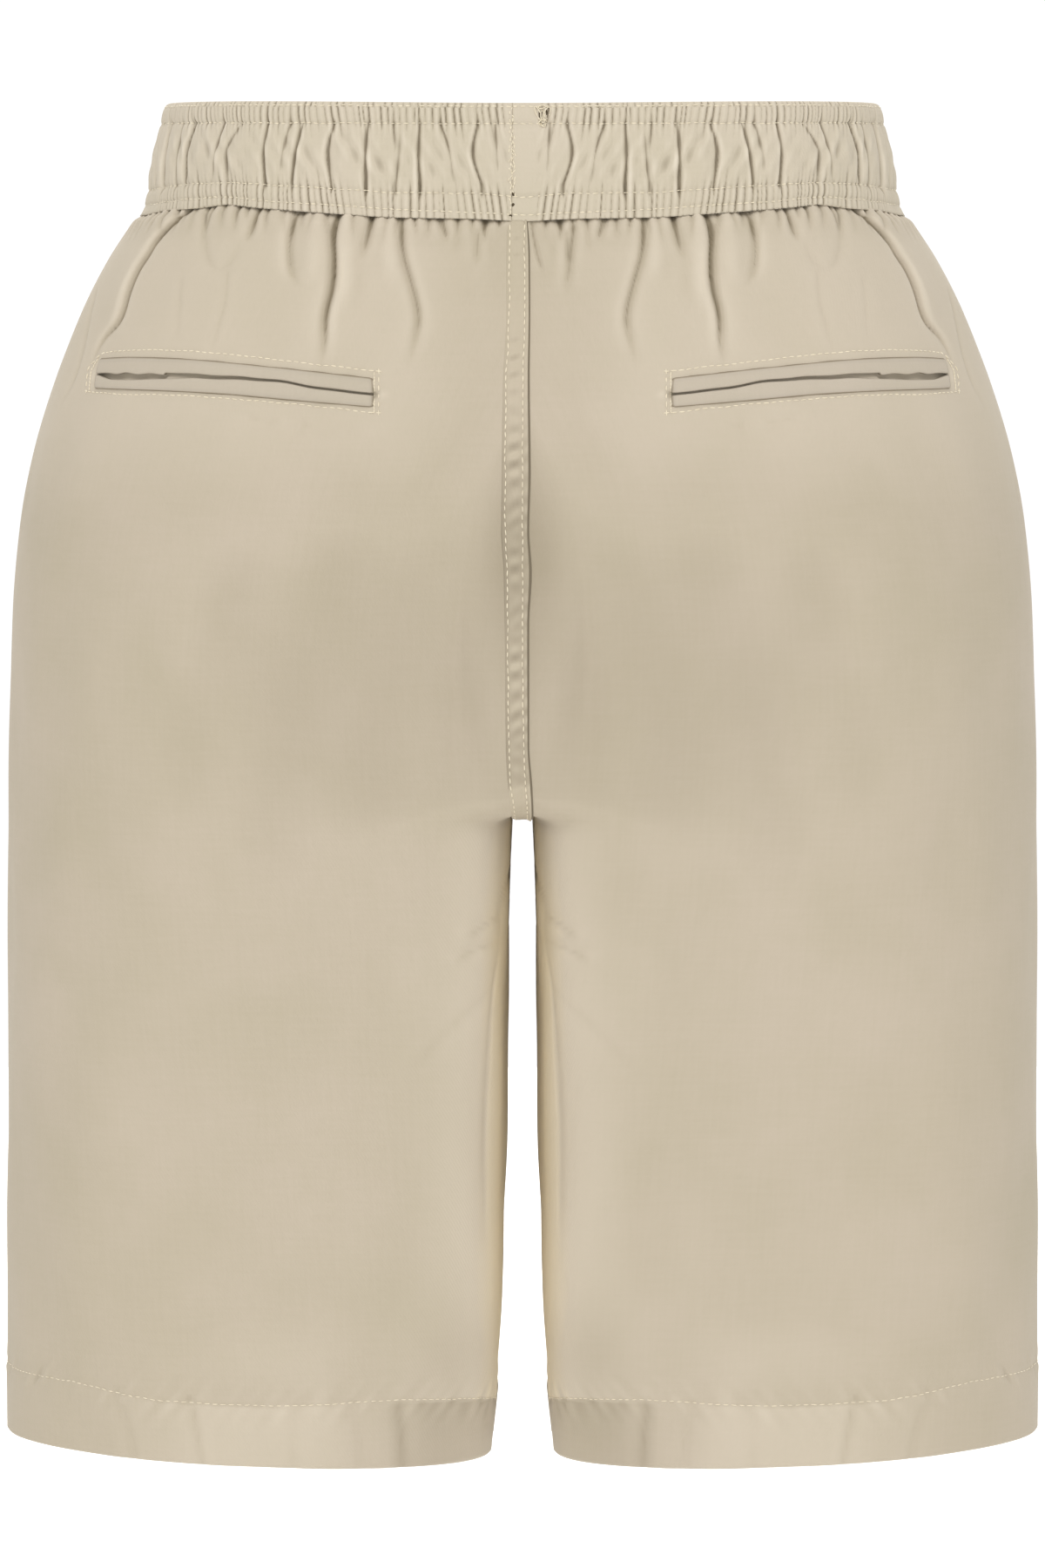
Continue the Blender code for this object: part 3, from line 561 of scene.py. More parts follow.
# One row of a cloth piece's surface: its points, their places on the flat cloth in metres, and its painted
# shading by fold depth: -1 painted highlight on a crest, +1 painted shade in a trough, -2 painted light.
Row = namedtuple("Row", "points flat fold")


def cloth_piece(name, side, skin, lining, finish):
    """A closed wall between rows of the outer skin and rows of its lining, smooth shaded."""
    faces, layers, count = [], [], 0
    for rows in (skin, lining):
        numbers = []
        for row in rows:
            numbers.append(np.arange(count, count + len(row.points)))
            count += len(row.points)
        for upper, lower in zip(numbers, numbers[1:]):
            if len(upper) == len(lower):
                faces += np.stack([upper[:-1], upper[1:], lower[1:], lower[:-1]], axis=1).tolist()
            else:
                faces += zipped(upper.tolist(), lower.tolist())
        layers.append(numbers)
    outer, inner = layers
    for end in (0, -1):
        faces += zipped(outer[end].tolist(), inner[end].tolist())
    for end in (0, -1):
        faces += zipped([int(row[end]) for row in outer], [int(row[end]) for row in inner])

    points, flat, fold = (np.concatenate(column) for column in zip(*skin, *lining))
    mesh = bpy.data.meshes.new(name)
    mesh.from_pydata((points * (side, 1, 1)).tolist(), [], faces)
    shell = bmesh.new()
    shell.from_mesh(mesh)
    bmesh.ops.recalc_face_normals(shell, faces=shell.faces)
    shell.to_mesh(mesh)
    shell.free()
    mesh.shade_smooth()
    corner = np.empty(len(mesh.loops), np.int32)
    mesh.loops.foreach_get("vertex_index", corner)
    layer = mesh.uv_layers.new(name="Cloth")
    layer.uv.foreach_set("vector", flat[corner].astype(np.float32).ravel())
    # The fold attribute carries the painted shade, highlight and light to the finish.
    depth = mesh.attributes.new("fold", "FLOAT", "POINT")
    depth.data.foreach_set("value", np.clip(fold, -2, 1).astype(np.float32))
    mesh.materials.append(finish)
    return placed(name, mesh)


SHADE_DEPTH_SCALE = 1.5 * MM  # a point this far below its neighbours gets the full painted shade of a trough
INNER_EDGE_LIGHT = 2.3  # painted light on the legs' inner edges, against the shade between them: 1 is a crest's highlight
INNER_EDGE_LIGHT_WIDTH = 11 * MM
UNDER_BAND_LIGHT = 0.45  # how much painted light the gathered cloth under the band gets


def painted_light_and_shade(face, height, z, across, distance):
    """How much painted shade, above 0, or painted light, below 0, a panel's cloth gets, as a depth in a fold.
    """
    # Painted light on the gathered cloth under the band, less at its edge and by the middle seam.
    below = band_line("bottom", distance) - z
    under_band_light = 1 - smoothstep(LIFT_DEPTH, 2 * LIFT_DEPTH, BAND_BOTTOM - height)
    under_band_light = under_band_light * (0.4 + 0.6 * smoothstep(12 * MM, 50 * MM, distance))
    under_band_light = under_band_light * (0.4 + 0.6 * smoothstep(3 * MM, 16 * MM, below))
    # Painted light on the legs' inner edges from the crotch to the hem, most at the thighs, against their
    # shade.
    doubled = smoothstep(0, -1 * MM, z - path_height(HEM_STITCH, distance))
    inner_edge_light = np.exp(-(((across - across[0]) / INNER_EDGE_LIGHT_WIDTH) ** 0.8)) * (1 - 0.8 * doubled)
    inner_edge_light = inner_edge_light * smoothstep(0.012, -0.008, height - CROTCH) * (1 + 0.2 * bell(z - THIGHS, 0.045))
    # Painted light and shade on the hem and the cloth just over it: paler in mid leg, darker by the inseam.
    hem_light_and_shade = 0.50 * bell(across - 105 * MM, 45 * MM) - 0.38 * (1 - smoothstep(40 * MM, 75 * MM, across))
    over_hem_light_and_shade = 0.30 * bell(across - 24 * MM, 18 * MM) - 0.25 * bell(across - 105 * MM, 40 * MM)
    over_hem_light_and_shade = over_hem_light_and_shade * bell(z - HEM - 46 * MM, 17 * MM)
    # Painted shade on the seat, along the middle seam and over its fullest part.
    seat_shade = 0.40 * bell(distance, 15 * MM) * bell(z + 0.135, 0.050)
    seat_shade = seat_shade + 0.27 * bell(z + 0.200, 0.085) * (1 - smoothstep(60 * MM, 190 * MM, across))
    seat_shade = seat_shade * (face == BACK)
    return over_hem_light_and_shade + seat_shade - INNER_EDGE_LIGHT * inner_edge_light - UNDER_BAND_LIGHT * under_band_light - hem_light_and_shade * doubled


def leg_panel(face, side_name, side, finish):
    """One panel, row by row from the band to the hem, lined with every second row and column."""
    skin, lining = [], []
    for number, (height, columns) in enumerate(panel_rows(face)):
        share = np.linspace(0, 1, columns + 1)
        near_band = 1 - smoothstep(0, LIFT_DEPTH, BAND_BOTTOM - height)
        near_hem = smoothstep(0, HEM - CROTCH, height - CROTCH) if height < CROTCH else 0
        lift = band_line("bottom", from_middle(face, share, height)) - BAND_BOTTOM
        z = height + near_band * lift + near_hem * hem_rise(face, share)
        across, distance = read_body(face, share, z)[::4]
        out = panel_relief(face, side_name, share, z)
        by_band = 1 - smoothstep(3 * MM, 16 * MM, band_line("bottom", distance) - z)
        # Painted shade in troughs and painted highlight on crests, by depth below the neighbours, with deeper
        # painted shade near the band; then the painted light and shade of the legs.
        fold = (spread(out, columns // 50) - out) / SHADE_DEPTH_SCALE
        fold = fold * np.where(fold > 0, 1 + 0.5 * by_band, 1) + painted_light_and_shade(face, height, z, across, distance)
        flat = np.stack([from_middle(face, 1, z) - distance, z], axis=1)
        skin.append(Row(on_body(face, share, z, out), flat, fold))
        if number % 2 == 0 or height <= HEM + 2 * MM:
            every = slice(None, None, 2)
            thickness = HEM_CLOTH if height < HEM + HEM_DEPTH else CLOTH
            inside = lowest_nearby(out, 2)[every] - thickness
            points = on_body(face, share[every], z[every], inside)
            lining.append(Row(points, flat[every], np.zeros(len(points))))
    return cloth_piece(f"{face}_panel_cloth_{side_name}", side, skin, lining, finish)


def colour(hex_code):
    """An sRGB hex value as a linear colour."""
    parts = [int(hex_code[k : k + 2], 16) / 255 for k in (1, 3, 5)]
    return (*(c / 12.92 if c <= 0.04045 else ((c + 0.055) / 1.055) ** 2.4 for c in parts), 1)


def feed(tree, node, sockets):
    """Give each named socket of a node its value or the output that feeds it."""
    for socket, value in sockets.items():
        if isinstance(value, bpy.types.NodeSocket):
            tree.links.new(value, node.inputs[socket])
        else:
            node.inputs[socket].default_value = value


def add_node(tree, kind, sockets=None, **settings):
    """The outputs of a new node with these settings, values and links."""
    node = tree.nodes.new(kind)
    for name, value in settings.items():
        setattr(node, name, value)
    feed(tree, node, sockets or {})
    return node.outputs


def new_finish(name, shader=None):
    """A material, with its shader's sockets fed."""
    finish = bpy.data.materials.new(name)
    finish.use_nodes = True
    feed(finish.node_tree, finish.node_tree.nodes["Principled BSDF"], shader or {})
    return finish


# Cotton twill, piece dyed and washed: matt, with a faint sheen of loose fibres. Its yarns are
# uneven, so the colour varies a little along them. Painted highlight lies on the crests of the
# folds, painted shade in their troughs, and painted light where the fold attribute asks for it.
TWILL_LINE = 1.3 * MM  # the real diagonal is 0.5 mm apart, too fine to show, so it is drawn wider
YARN_STREAK = 1.6 * MM  # width of a streak of uneven yarns, for a yarn of 0.3 mm is too fine to show
PATCH = 60 * MM  # size of the faint patches left by washing
CRUMPLE = 9 * MM  # size of the fine crumpling left by wear


def cotton_twill(name, face_colour, trough_shade_colour, crest_highlight_colour, painted_light_colour):
    """The cloth's finish: yarns along and across, patches, painted shade and light by fold, weave and
    crumpling.
    """
    finish = new_finish(name)
    tree = finish.node_tree
    node = partial(add_node, tree)
    flat = node("ShaderNodeUVMap", uv_map="Cloth")["UV"]
    place = node("ShaderNodeTexCoord")["Object"]
    fold = node("ShaderNodeAttribute", attribute_name="fold")["Fac"]

    # The yarns: streaks of unevenness along the warp and along the weft, half of each.
    streaks = []
    for across, along in ((1, 0.06), (0.08, 1)):
        stretch = {"Vector": flat, "Scale": (across / YARN_STREAK, along / YARN_STREAK, 1)}
        stretched = node("ShaderNodeMapping", stretch)["Vector"]
        uneven = {"Vector": stretched, "Scale": 1.0, "Detail": 2.0, "Roughness": 0.5}
        streaks.append(node("ShaderNodeTexNoise", uneven)["Fac"])
    halves = {"Factor": 0.5, "A": streaks[0], "B": streaks[1]}
    yarns = node("ShaderNodeMix", halves, data_type="FLOAT")["Result"]
    washed = {"Vector": place, "Scale": 1 / PATCH, "Detail": 3.0, "Roughness": 0.5}
    patches = node("ShaderNodeTexNoise", washed)["Fac"]
    tone = node("ShaderNodeMath", {0: yarns, 1: 0.45, 2: patches}, operation="MULTIPLY_ADD")["Value"]

    # The colour: from a darker to a lighter tint of the face by its tone, and over it painted shade in
    # troughs, painted highlight on crests and painted light, by how deep in a fold each point lies.
    base = colour(face_colour)
    tint = (base[0] * 0.955, base[1] * 0.955, base[2] * 0.930, 1)
    lighter = (base[0] * 1.040, base[1] * 1.030, base[2] * 1.050, 1)
    for value, none, full, most, over in (
        (tone, 0.50, 0.95, 1.0, lighter),
        (fold, 0.10, 1.0, 0.80, colour(trough_shade_colour)),
        (fold, -0.10, -1.0, 1.0, colour(crest_highlight_colour)),
        (fold, -1.0, -2.0, 1.0, colour(painted_light_colour)),
    ):
        rising = {"Value": value, "From Min": none, "From Max": full, "To Max": most}
        share = node("ShaderNodeMapRange", rising)["Result"]
        tint = node("ShaderNodeMix", {"Factor": share, "A": tint, "B": over}, data_type="RGBA")["Result"]

    # The surface: the diagonal lines of the weave, the uneven yarns, and the crumpling over both.
    diagonal = {"Vector": flat, "Scale": (0.628 / TWILL_LINE, 0.36 / TWILL_LINE, 1)}
    lines = {"Vector": node("ShaderNodeMapping", diagonal)["Vector"], "Scale": 1.0,
             "Distortion": 0.6, "Detail": 1.0, "Detail Scale": 1.5}
    weave = node("ShaderNodeTexWave", lines, bands_direction="DIAGONAL")["Fac"]
    crumpling = {"Vector": place, "Scale": 1 / CRUMPLE, "Detail": 3.0, "Roughness": 0.55}
    crumpled = node("ShaderNodeTexNoise", crumpling)["Fac"]
    normal = {}
    for height, strength, depth in ((weave, 0.35, 0.05), (yarns, 0.5, 0.10), (crumpled, 0.6, 0.55)):
        bump = {"Height": height, "Strength": strength, "Distance": depth * MM, **normal}
        normal = {"Normal": node("ShaderNodeBump", bump)["Normal"]}
    feed(tree, tree.nodes["Principled BSDF"], {
        "Base Color": tint, "Roughness": 0.86, "Specular IOR Level": 0.25,
        "Sheen Weight": 0.05, "Sheen Roughness": 0.55, **normal,
    })
    return finish


# Colours: the face, then painted shade for troughs, painted highlight for crests, painted light.
panel_twill = cotton_twill("cotton twill, panels", "#b0a592", "#6f634c", "#c2b7a5", "#dfd2b7")
for side_name, side in SIDES:
    for face in (BACK, FRONT):
        panel = leg_panel(face, side_name, side, panel_twill)
        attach(panel, "root")
        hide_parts(f"{face}_panel_{side_name}")


# ------------------------------------------------------------------------------- back pockets
# A double-welt pocket in each back panel: the panel is slashed, and two strips of the same twill,
# folded lengthwise, are let into the slash and topstitched round. The mouth gapes a little at its
# outer end, and a bartack holds each end.

Welt = namedtuple("Welt", "name seam mouth")
LOWER_WELT_MOUTH = ((57, -88.6), (67, -87.6), (103, -82.9), (137, -82.2), (145, -82.6), (158, -83.0),
                    (168, -82.8), (181, -81.2), (184, -81.0))
WELTS = (
    Welt("upper", UPPER_WELT_SEAM, POCKET_MOUTH),
    Welt("lower", LOWER_WELT_SEAM, LOWER_WELT_MOUTH),
)
WELT_ENDS = (56.5 * MM, 181.5 * MM)
WELT_CLOTH = 0.5 * MM
WELT_WAVES = Waves(71, 0.020, 0.100, 0.22 * MM)
# How far a welt stands out, by the way across from its seam to the mouth, and then rolls inside.
WELT_ACROSS = (0.00, 0.04, 0.08, 0.17, 0.35, 0.60, 0.82, 0.94, 1.00, 1.00, 0.93)
WELT_OUT = (-0.35, 0.00, 0.34, 0.52, 0.60, 0.68, 0.76, 0.64, 0.25, -0.50, -1.30)


def share_at(face, distance, z):
    """The share of the outline at a distance from the middle, for heights above the hips."""
    return np.abs(distance) / from_middle(face, 1, z)


def at_distance(face, distance, z, out):
    """Points by their distance from the middle, for heights above the hips. A distance below zero
    is across the middle seam."""
    distance, z = np.broadcast_arrays(np.asarray(distance, float), np.asarray(z, float))
    points = on_body(face, share_at(face, distance, z), z, out)
    points[..., 0] *= np.where(distance < 0, -1, 1)
    return points


def pocket_welt(welt, side_name, side, finish):
    """A welt from its seam to where it rolls into the mouth, each row following the panel."""
    distance = np.linspace(*WELT_ENDS, 160)
    seam, mouth = path_height(welt.seam, distance), path_height(welt.mouth, distance)
    rolls = drape(distance, distance * 0, WELT_WAVES)
    at_ends = bell(distance - WELT_ENDS[0], 1.0 * MM) + bell(distance - WELT_ENDS[1], 1.0 * MM)
    skin, lining = [], []
    for across, raised in zip(WELT_ACROSS, WELT_OUT):
        z = seam + (mouth - seam) * across + rolls * across
        under = hang_relief(BACK, side_name, share_at(BACK, distance, z), z)
        out = under + raised * MM - 0.8 * MM * at_ends
        flat = np.stack([distance, z], axis=1)
        # Painted shade where the welt dips and rolls in at the mouth and at its ends, painted highlight where
        # it stands out.
        fold = np.clip(1.3 - 2.6 * raised, -0.3, 1) + at_ends * 1.2
        skin.append(Row(at_distance(BACK, distance, z, out), flat, fold))
        lining.append(Row(at_distance(BACK, distance, z, out - WELT_CLOTH), flat, fold))
    return cloth_piece(f"welt_{welt.name}_{side_name}", side, skin, lining, finish)


# Colours: the face, then painted shade for troughs, painted highlight for crests, painted light.
welt_twill = cotton_twill("cotton twill, pocket welts", "#aca292", "#6d614a", "#bdb29f", "#bdb29f")
for side_name, side in SIDES:
    for welt in WELTS:
        strip = pocket_welt(welt, side_name, side, welt_twill)
        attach(strip, "root")
        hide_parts(f"pocket_welt_{welt.name}_{side_name}")


# ------------------------------------------------------------------------------- felled seam
# The left and right halves are joined from the band's back, under the crotch, to its front. The
# allowances are pressed to the left and topstitched twice through all layers, so the seam is a
# flat ridge that puckers between its rows of stitches and drops off at its right edge.

FellLine = namedtuple("FellLine", "height left_row right_row edge")  # millimetres, by height
FELL_LINES = (
    FellLine(-20, -4.6, 0.7, 1.8),
    FellLine(-36, -5.0, 0.8, 2.9),
    FellLine(-57, -5.1, 0.9, 3.0),
    FellLine(-81, -6.2, 0.2, 2.8),
    FellLine(-118, -6.6, 0.0, 3.2),
    FellLine(-140, -6.6, 0.0, 2.6),
    FellLine(-156, -5.8, 0.1, 3.6),
    FellLine(-176, -5.7, 0.0, 2.6),
    FellLine(-222, -5.2, 0.5, 2.6),
    FellLine(-238, -4.4, 1.2, 3.8),
    FellLine(-248, -3.0, 1.9, 4.2),
    FellLine(-252, -2.4, 1.9, 4.0),
)
FELL_STEP = 1.0 * MM
FELL_REACH = 14 * MM
FELL_LAP = 1.6 * MM  # from the left row of stitches to the ridge's left edge
FELL_CLOTH = 0.6 * MM
FELL_PUCKERS = Waves(83, 0.0068, 0.024, 0.12 * MM)
# The ridge's section: place across, 0 at the left row, 1 at the right row and 2 at the edge, and
# how far it stands out there in millimetres.
FELL_ACROSS = (-0.30, -0.16, 0.0, 0.14, 0.30, 0.5, 0.70, 0.86, 1.0, 1.15, 1.4, 1.58, 1.68, 1.72, 1.97, 2.0)
FELL_OUT = (-0.30, 0.14, 0.20, 0.50, 0.62, 0.66, 0.62, 0.52, 0.30, 0.64, 0.86, 0.92, 0.72, 0.20, 0.18, -0.60)


def outside(x, y, z):
    """Above zero where a point is outside the form of its leg."""
    sizes = body_sizes(z)
    away = np.abs(x) - sizes.leg_centre
    part = np.clip(-away / (sizes.leg_centre - leg_edge(z, sizes)), 0, 1)
    back, front = (half_axis_at(part, z, face, sizes) for face in (BACK, FRONT))
    inner = np.where(y < 0, back, front)
    across = np.where(away > 0, sizes.half_width - sizes.leg_centre, inner)
    depth = np.where(y < 0, sizes.back, sizes.front)
    power = np.where(away > 0, ROUNDNESS, inner_roundness(z))
    return (np.abs(away) / across) ** power + (np.abs(y) / depth) ** power - 1


def clearance(x, y, z, direction_y, direction_z):
    """How far to go from a point of the middle seam, along a direction, to leave the form."""
    low, high = np.zeros(np.shape(x)), np.full(np.shape(x), FELL_REACH)
    for _ in range(22):
        middle = (low + high) / 2
        beyond = outside(x, y + direction_y * middle, z + direction_z * middle) > 0
        high, low = np.where(beyond, middle, high), np.where(beyond, low, middle)
    return high


def way_along(path):
    """How far along a path each of its points is."""
    return np.concatenate([[0], np.cumsum(np.linalg.norm(np.diff(path, axis=0), axis=1))])


def middle_seam():
    """The seat seam from the band to the crotch and the rise seam up to the band, as (y, z)."""
    heights = np.concatenate([
        np.linspace(BAND_BOTTOM + 0.5 * MM, -0.20, 60),
        CROTCH + (-0.20 - CROTCH) * np.linspace(1, 0, 120)[1:] ** 3,
    ])
    sizes = body_sizes(heights)
    back, front = (
        np.stack([depth * reach_of_middle(heights, SEAM_CURVE[face]), heights], axis=1)
        for face, depth in ((BACK, -sizes.back), (FRONT, sizes.front))
    )
    return np.concatenate([back, front[-2::-1]])


SEAM = middle_seam()
SEAM_ALONG = way_along(SEAM)
SEAM_CROTCH = SEAM_ALONG[np.argmin(np.abs(SEAM[:, 0]))]


def fell_points(along, across, lift=0.0):
    """Points of the ridge at a distance along the seam and a place across it, and its outward way."""
    y, z = (np.interp(along, SEAM_ALONG, SEAM[:, k]) for k in (0, 1))
    ahead, behind = along + 2 * MM, along - 2 * MM
    ty, tz = (
        np.interp(ahead, SEAM_ALONG, SEAM[:, k]) - np.interp(behind, SEAM_ALONG, SEAM[:, k]) for k in (0, 1)
    )
    size = np.hypot(ty, tz)
    out_y, out_z = tz / size, -ty / size
    left, right, edge = (place * MM for place in read_table(FELL_LINES, z / MM, 1, 2, 3))
    x = np.where(across < 1, left + (right - left) * across, right + (edge - right) * (across - 1))
    at_crotch = 1 - smoothstep(20 * MM, 90 * MM, np.abs(along - SEAM_CROTCH))
    own = clearance(x, y, z, out_y, out_z)
    widest = clearance(np.maximum(np.abs(left) + FELL_LAP, edge), y, z, out_y, out_z)
    own = np.maximum(own, widest * at_crotch)
    drawn = 1 - smoothstep(-0.5 * MM, TUCK_DEPTH, BAND_BOTTOM - z)
    between = np.sin(np.pi * np.clip(across, 0, 1)) + 0.6 * np.sin(np.pi * np.clip(across - 1, 0, 1))
    slanted = along + x * (0.2 + 0.9 * at_crotch)
    pucker = drape(slanted, x, FELL_PUCKERS) * (1 + 0.9 * at_crotch)
    raised = np.interp(across, FELL_ACROSS, FELL_OUT) * MM
    total = own + raised + pucker * between - TUCK * drawn + lift
    points = np.stack([x, y + out_y * total, z + out_z * total], axis=-1)
    outward = np.stack([np.zeros_like(x), out_y, out_z], axis=-1)
    return points, outward, pucker * between


def felled_seam(finish):
    """The ridge as cloth, with painted shadow beside its edge, painted shade down the seat and in
    its puckers, and painted light at the crotch.
    """
    stations = np.arange(0, SEAM_ALONG[-1], FELL_STEP)
    skin, lining = [], []
    for across, raised in zip(FELL_ACROSS, FELL_OUT):
        place = np.full(len(stations), across)
        points, outward, pucker = fell_points(stations, place)
        flat = np.stack([points[:, 0], stations], axis=1)
        # Painted shadow under the ridge's right edge, painted shade where it lies low, down the seat and in
        # its puckers, and painted light at the crotch against the shade between the legs.
        in_shadow = 1.0 if across > 1.7 else max(0.0, (0.30 - raised) * 1.2)
        y, z = points[:, 1], points[:, 2]
        seam_shade = (0.45 * bell(z + 0.150, 0.055) + 0.30 * bell(z + 0.230, 0.030)) * (y < 0)
        crotch_light = 1.6 * smoothstep(-0.236, -0.250, z)
        fold = np.maximum(in_shadow + seam_shade - crotch_light - pucker / (0.60 * MM), 0.95 * (across > 1.7))
        skin.append(Row(points, flat, fold))
        lining.append(Row(points - outward * FELL_CLOTH, flat, fold))
    return cloth_piece("felled_seam_cloth", 1, skin, lining, finish)


# Colours: the face, then painted shade for troughs, painted highlight for crests, painted light.
seam_twill = cotton_twill("cotton twill, felled seam", "#b1a692", "#5d523f", "#c0b5a1", "#d0c4ae")
ridge = felled_seam(seam_twill)
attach(ridge, "root")
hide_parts("rise_seam")


# ------------------------------------------------------------------------------- waistband
# Two halves of the same twill, each folded lengthwise over a wide elastic, joined a little left of
# centre back and at centre front. Four rows of stitching run through the band, and the relaxed
# elastic gathers it into fine pleats in its two narrow channels and broad puffs in the casing.

# The casing's creases: distances from the middle and depths at three heights, in millimetres.
BandCrease = namedtuple("BandCrease", "places depths width")
CREASE_HEIGHTS = (15.0, 4.0, -8.5)
CREASE_WIDTH = 0.72 * MM  # of a crease whose width is given as 1
CREASE_OVERLAP = 1.45  # a crease laps over to one side, where it is wider by this
BACK_CREASES = (
    BandCrease((10.3, 9.7, 8.9), (1.4, 0.7, 0.0), 1.0),
    BandCrease((17.2, 19.1, 15.7), (1.5, 1.8, 1.7), 1.0),
    BandCrease((31.1, 27.8, 26.0), (1.3, 0.9, 0.0), 1.0),
    BandCrease((39.3, 39.9, 39.3), (1.1, 1.8, 2.5), 1.0),
    BandCrease((46.5, 47.0, 48.3), (0.0, 0.9, 1.2), 1.1),
    BandCrease((49.6, 48.7, 49.0), (1.0, 0.4, 0.0), 1.0),
    BandCrease((59.1, 60.0, 59.8), (1.2, 1.9, 2.3), 1.0),
    BandCrease((72.6, 75.2, 73.7), (1.1, 1.9, 1.5), 1.1),
    BandCrease((85.3, 88.1, 89.8), (1.1, 2.2, 1.4), 1.1),
    BandCrease((90.9, 93.6, 95.0), (1.3, 0.7, 0.0), 1.3),
    BandCrease((100.3, 101.9, 101.0), (1.1, 1.7, 2.1), 1.0),
    BandCrease((113.5, 120.4, 118.6), (0.8, 1.3, 1.0), 1.7),
    BandCrease((122.4, 125.6, 127.0), (2.0, 1.1, 0.3), 1.3),
    BandCrease((141.4, 145.0, 144.7), (2.4, 2.7, 0.8), 1.8),
    BandCrease((150.0, 152.0, 151.0), (1.1, 1.6, 1.3), 1.8),
    BandCrease((164.5, 167.0, 166.0), (2.2, 3.6, 3.4), 2.3),
    BandCrease((175.0, 176.0, 175.0), (0.8, 1.4, 1.2), 2.0),
    BandCrease((186.0, 187.0, 187.0), (0.8, 1.0, 0.8), 1.8),
)
THROUGH_CHANNELS = 1.6 * MM  # how far a crease runs on past the rows of the casing
CASING_PUFF = 0.9 * MM
CASING_WAVES = Waves(61, 0.009, 0.015, 0.50 * MM)
CHANNEL_PUFF = 0.35 * MM
PLEAT_PITCH = 2.4 * MM
PLEAT_DEPTH = 1.00 * MM
PLEAT_FADE = 3.4 * MM  # how far the pleats run on into the casing
PLEAT_SLANT = 0.08
BAND_TOP = 23.0 * MM
TOP_LIFT = 2.0 * MM
EDGE_DROP = 1.5 * MM  # from the folded upper edge to its row of stitches
BAND_JOINT = -4.0 * MM  # of the two halves at centre back, left of the middle
UNGATHERED = 4.0 * MM  # either side of the middle
BAND_THICKNESS = 3.2 * MM
BAND_CLOTH = 0.8 * MM
BAND_COLUMN = 0.5 * MM
BAND_SHADE_DEPTH_SCALE = 0.62 * MM  # as SHADE_DEPTH_SCALE, for the painted shade of the band's finer folds


def front_creases():
    rng = np.random.default_rng(5)
    made, at = [], 15.0
    while at < 190:
        shift, depth = rng.uniform(-2.5, 2.5), rng.uniform(0.7, 1.9)
        fades = rng.choice([0.0, 0.6, 1.0], size=2)
        places = (at, at + shift, at + shift / 2)
        made.append(BandCrease(places, (depth * fades[0], depth, depth * fades[1]), 1.1))
        at += rng.uniform(7, 17)
    return tuple(made)


CREASES = {BACK: BACK_CREASES, FRONT: front_creases()}


Valleys = namedtuple("Valleys", "at depth")  # depth as a share of the pleats' full depth


def pleat_valleys(seed, length):
    rng = np.random.default_rng(seed)
    pitches = PLEAT_PITCH * rng.uniform(0.60, 1.45, size=int(1.4 * length / PLEAT_PITCH))
    at = UNGATHERED + np.concatenate([[0], np.cumsum(pitches)])
    return Valleys(at, rng.uniform(0.30, 1.30, size=len(at)))


VALLEYS = {}
for face in (BACK, FRONT):
    for channel in ("upper", "lower"):
        VALLEYS[face, channel] = pleat_valleys(101 + len(VALLEYS), 0.22)


def pleats(valleys, along):
    """1 on the rounded crest between two valleys, and down to 0 or less in each valley."""
    i = np.clip(np.searchsorted(valleys.at, along) - 1, 0, len(valleys.at) - 2)
    part = np.clip((along - valleys.at[i]) / (valleys.at[i + 1] - valleys.at[i]), 0, 1)
    depth = valleys.depth[i] * (1 - part) + valleys.depth[i + 1] * part
    return 1 - depth * (1 - np.sin(np.pi * part) ** 0.7)


def band_edge(distance):
    return BAND_TOP + TOP_LIFT * smoothstep(0, 0.2, np.abs(distance)) - EDGE_DROP


def gathered_share(distance):
    """How strongly the elastic gathers the band: not at the middle, and less at the sides."""
    away = np.abs(distance)
    at_side = 1 - 0.40 * smoothstep(130 * MM, 165 * MM, away)
    return smoothstep(UNGATHERED, UNGATHERED + 2.5 * MM, away) * at_side


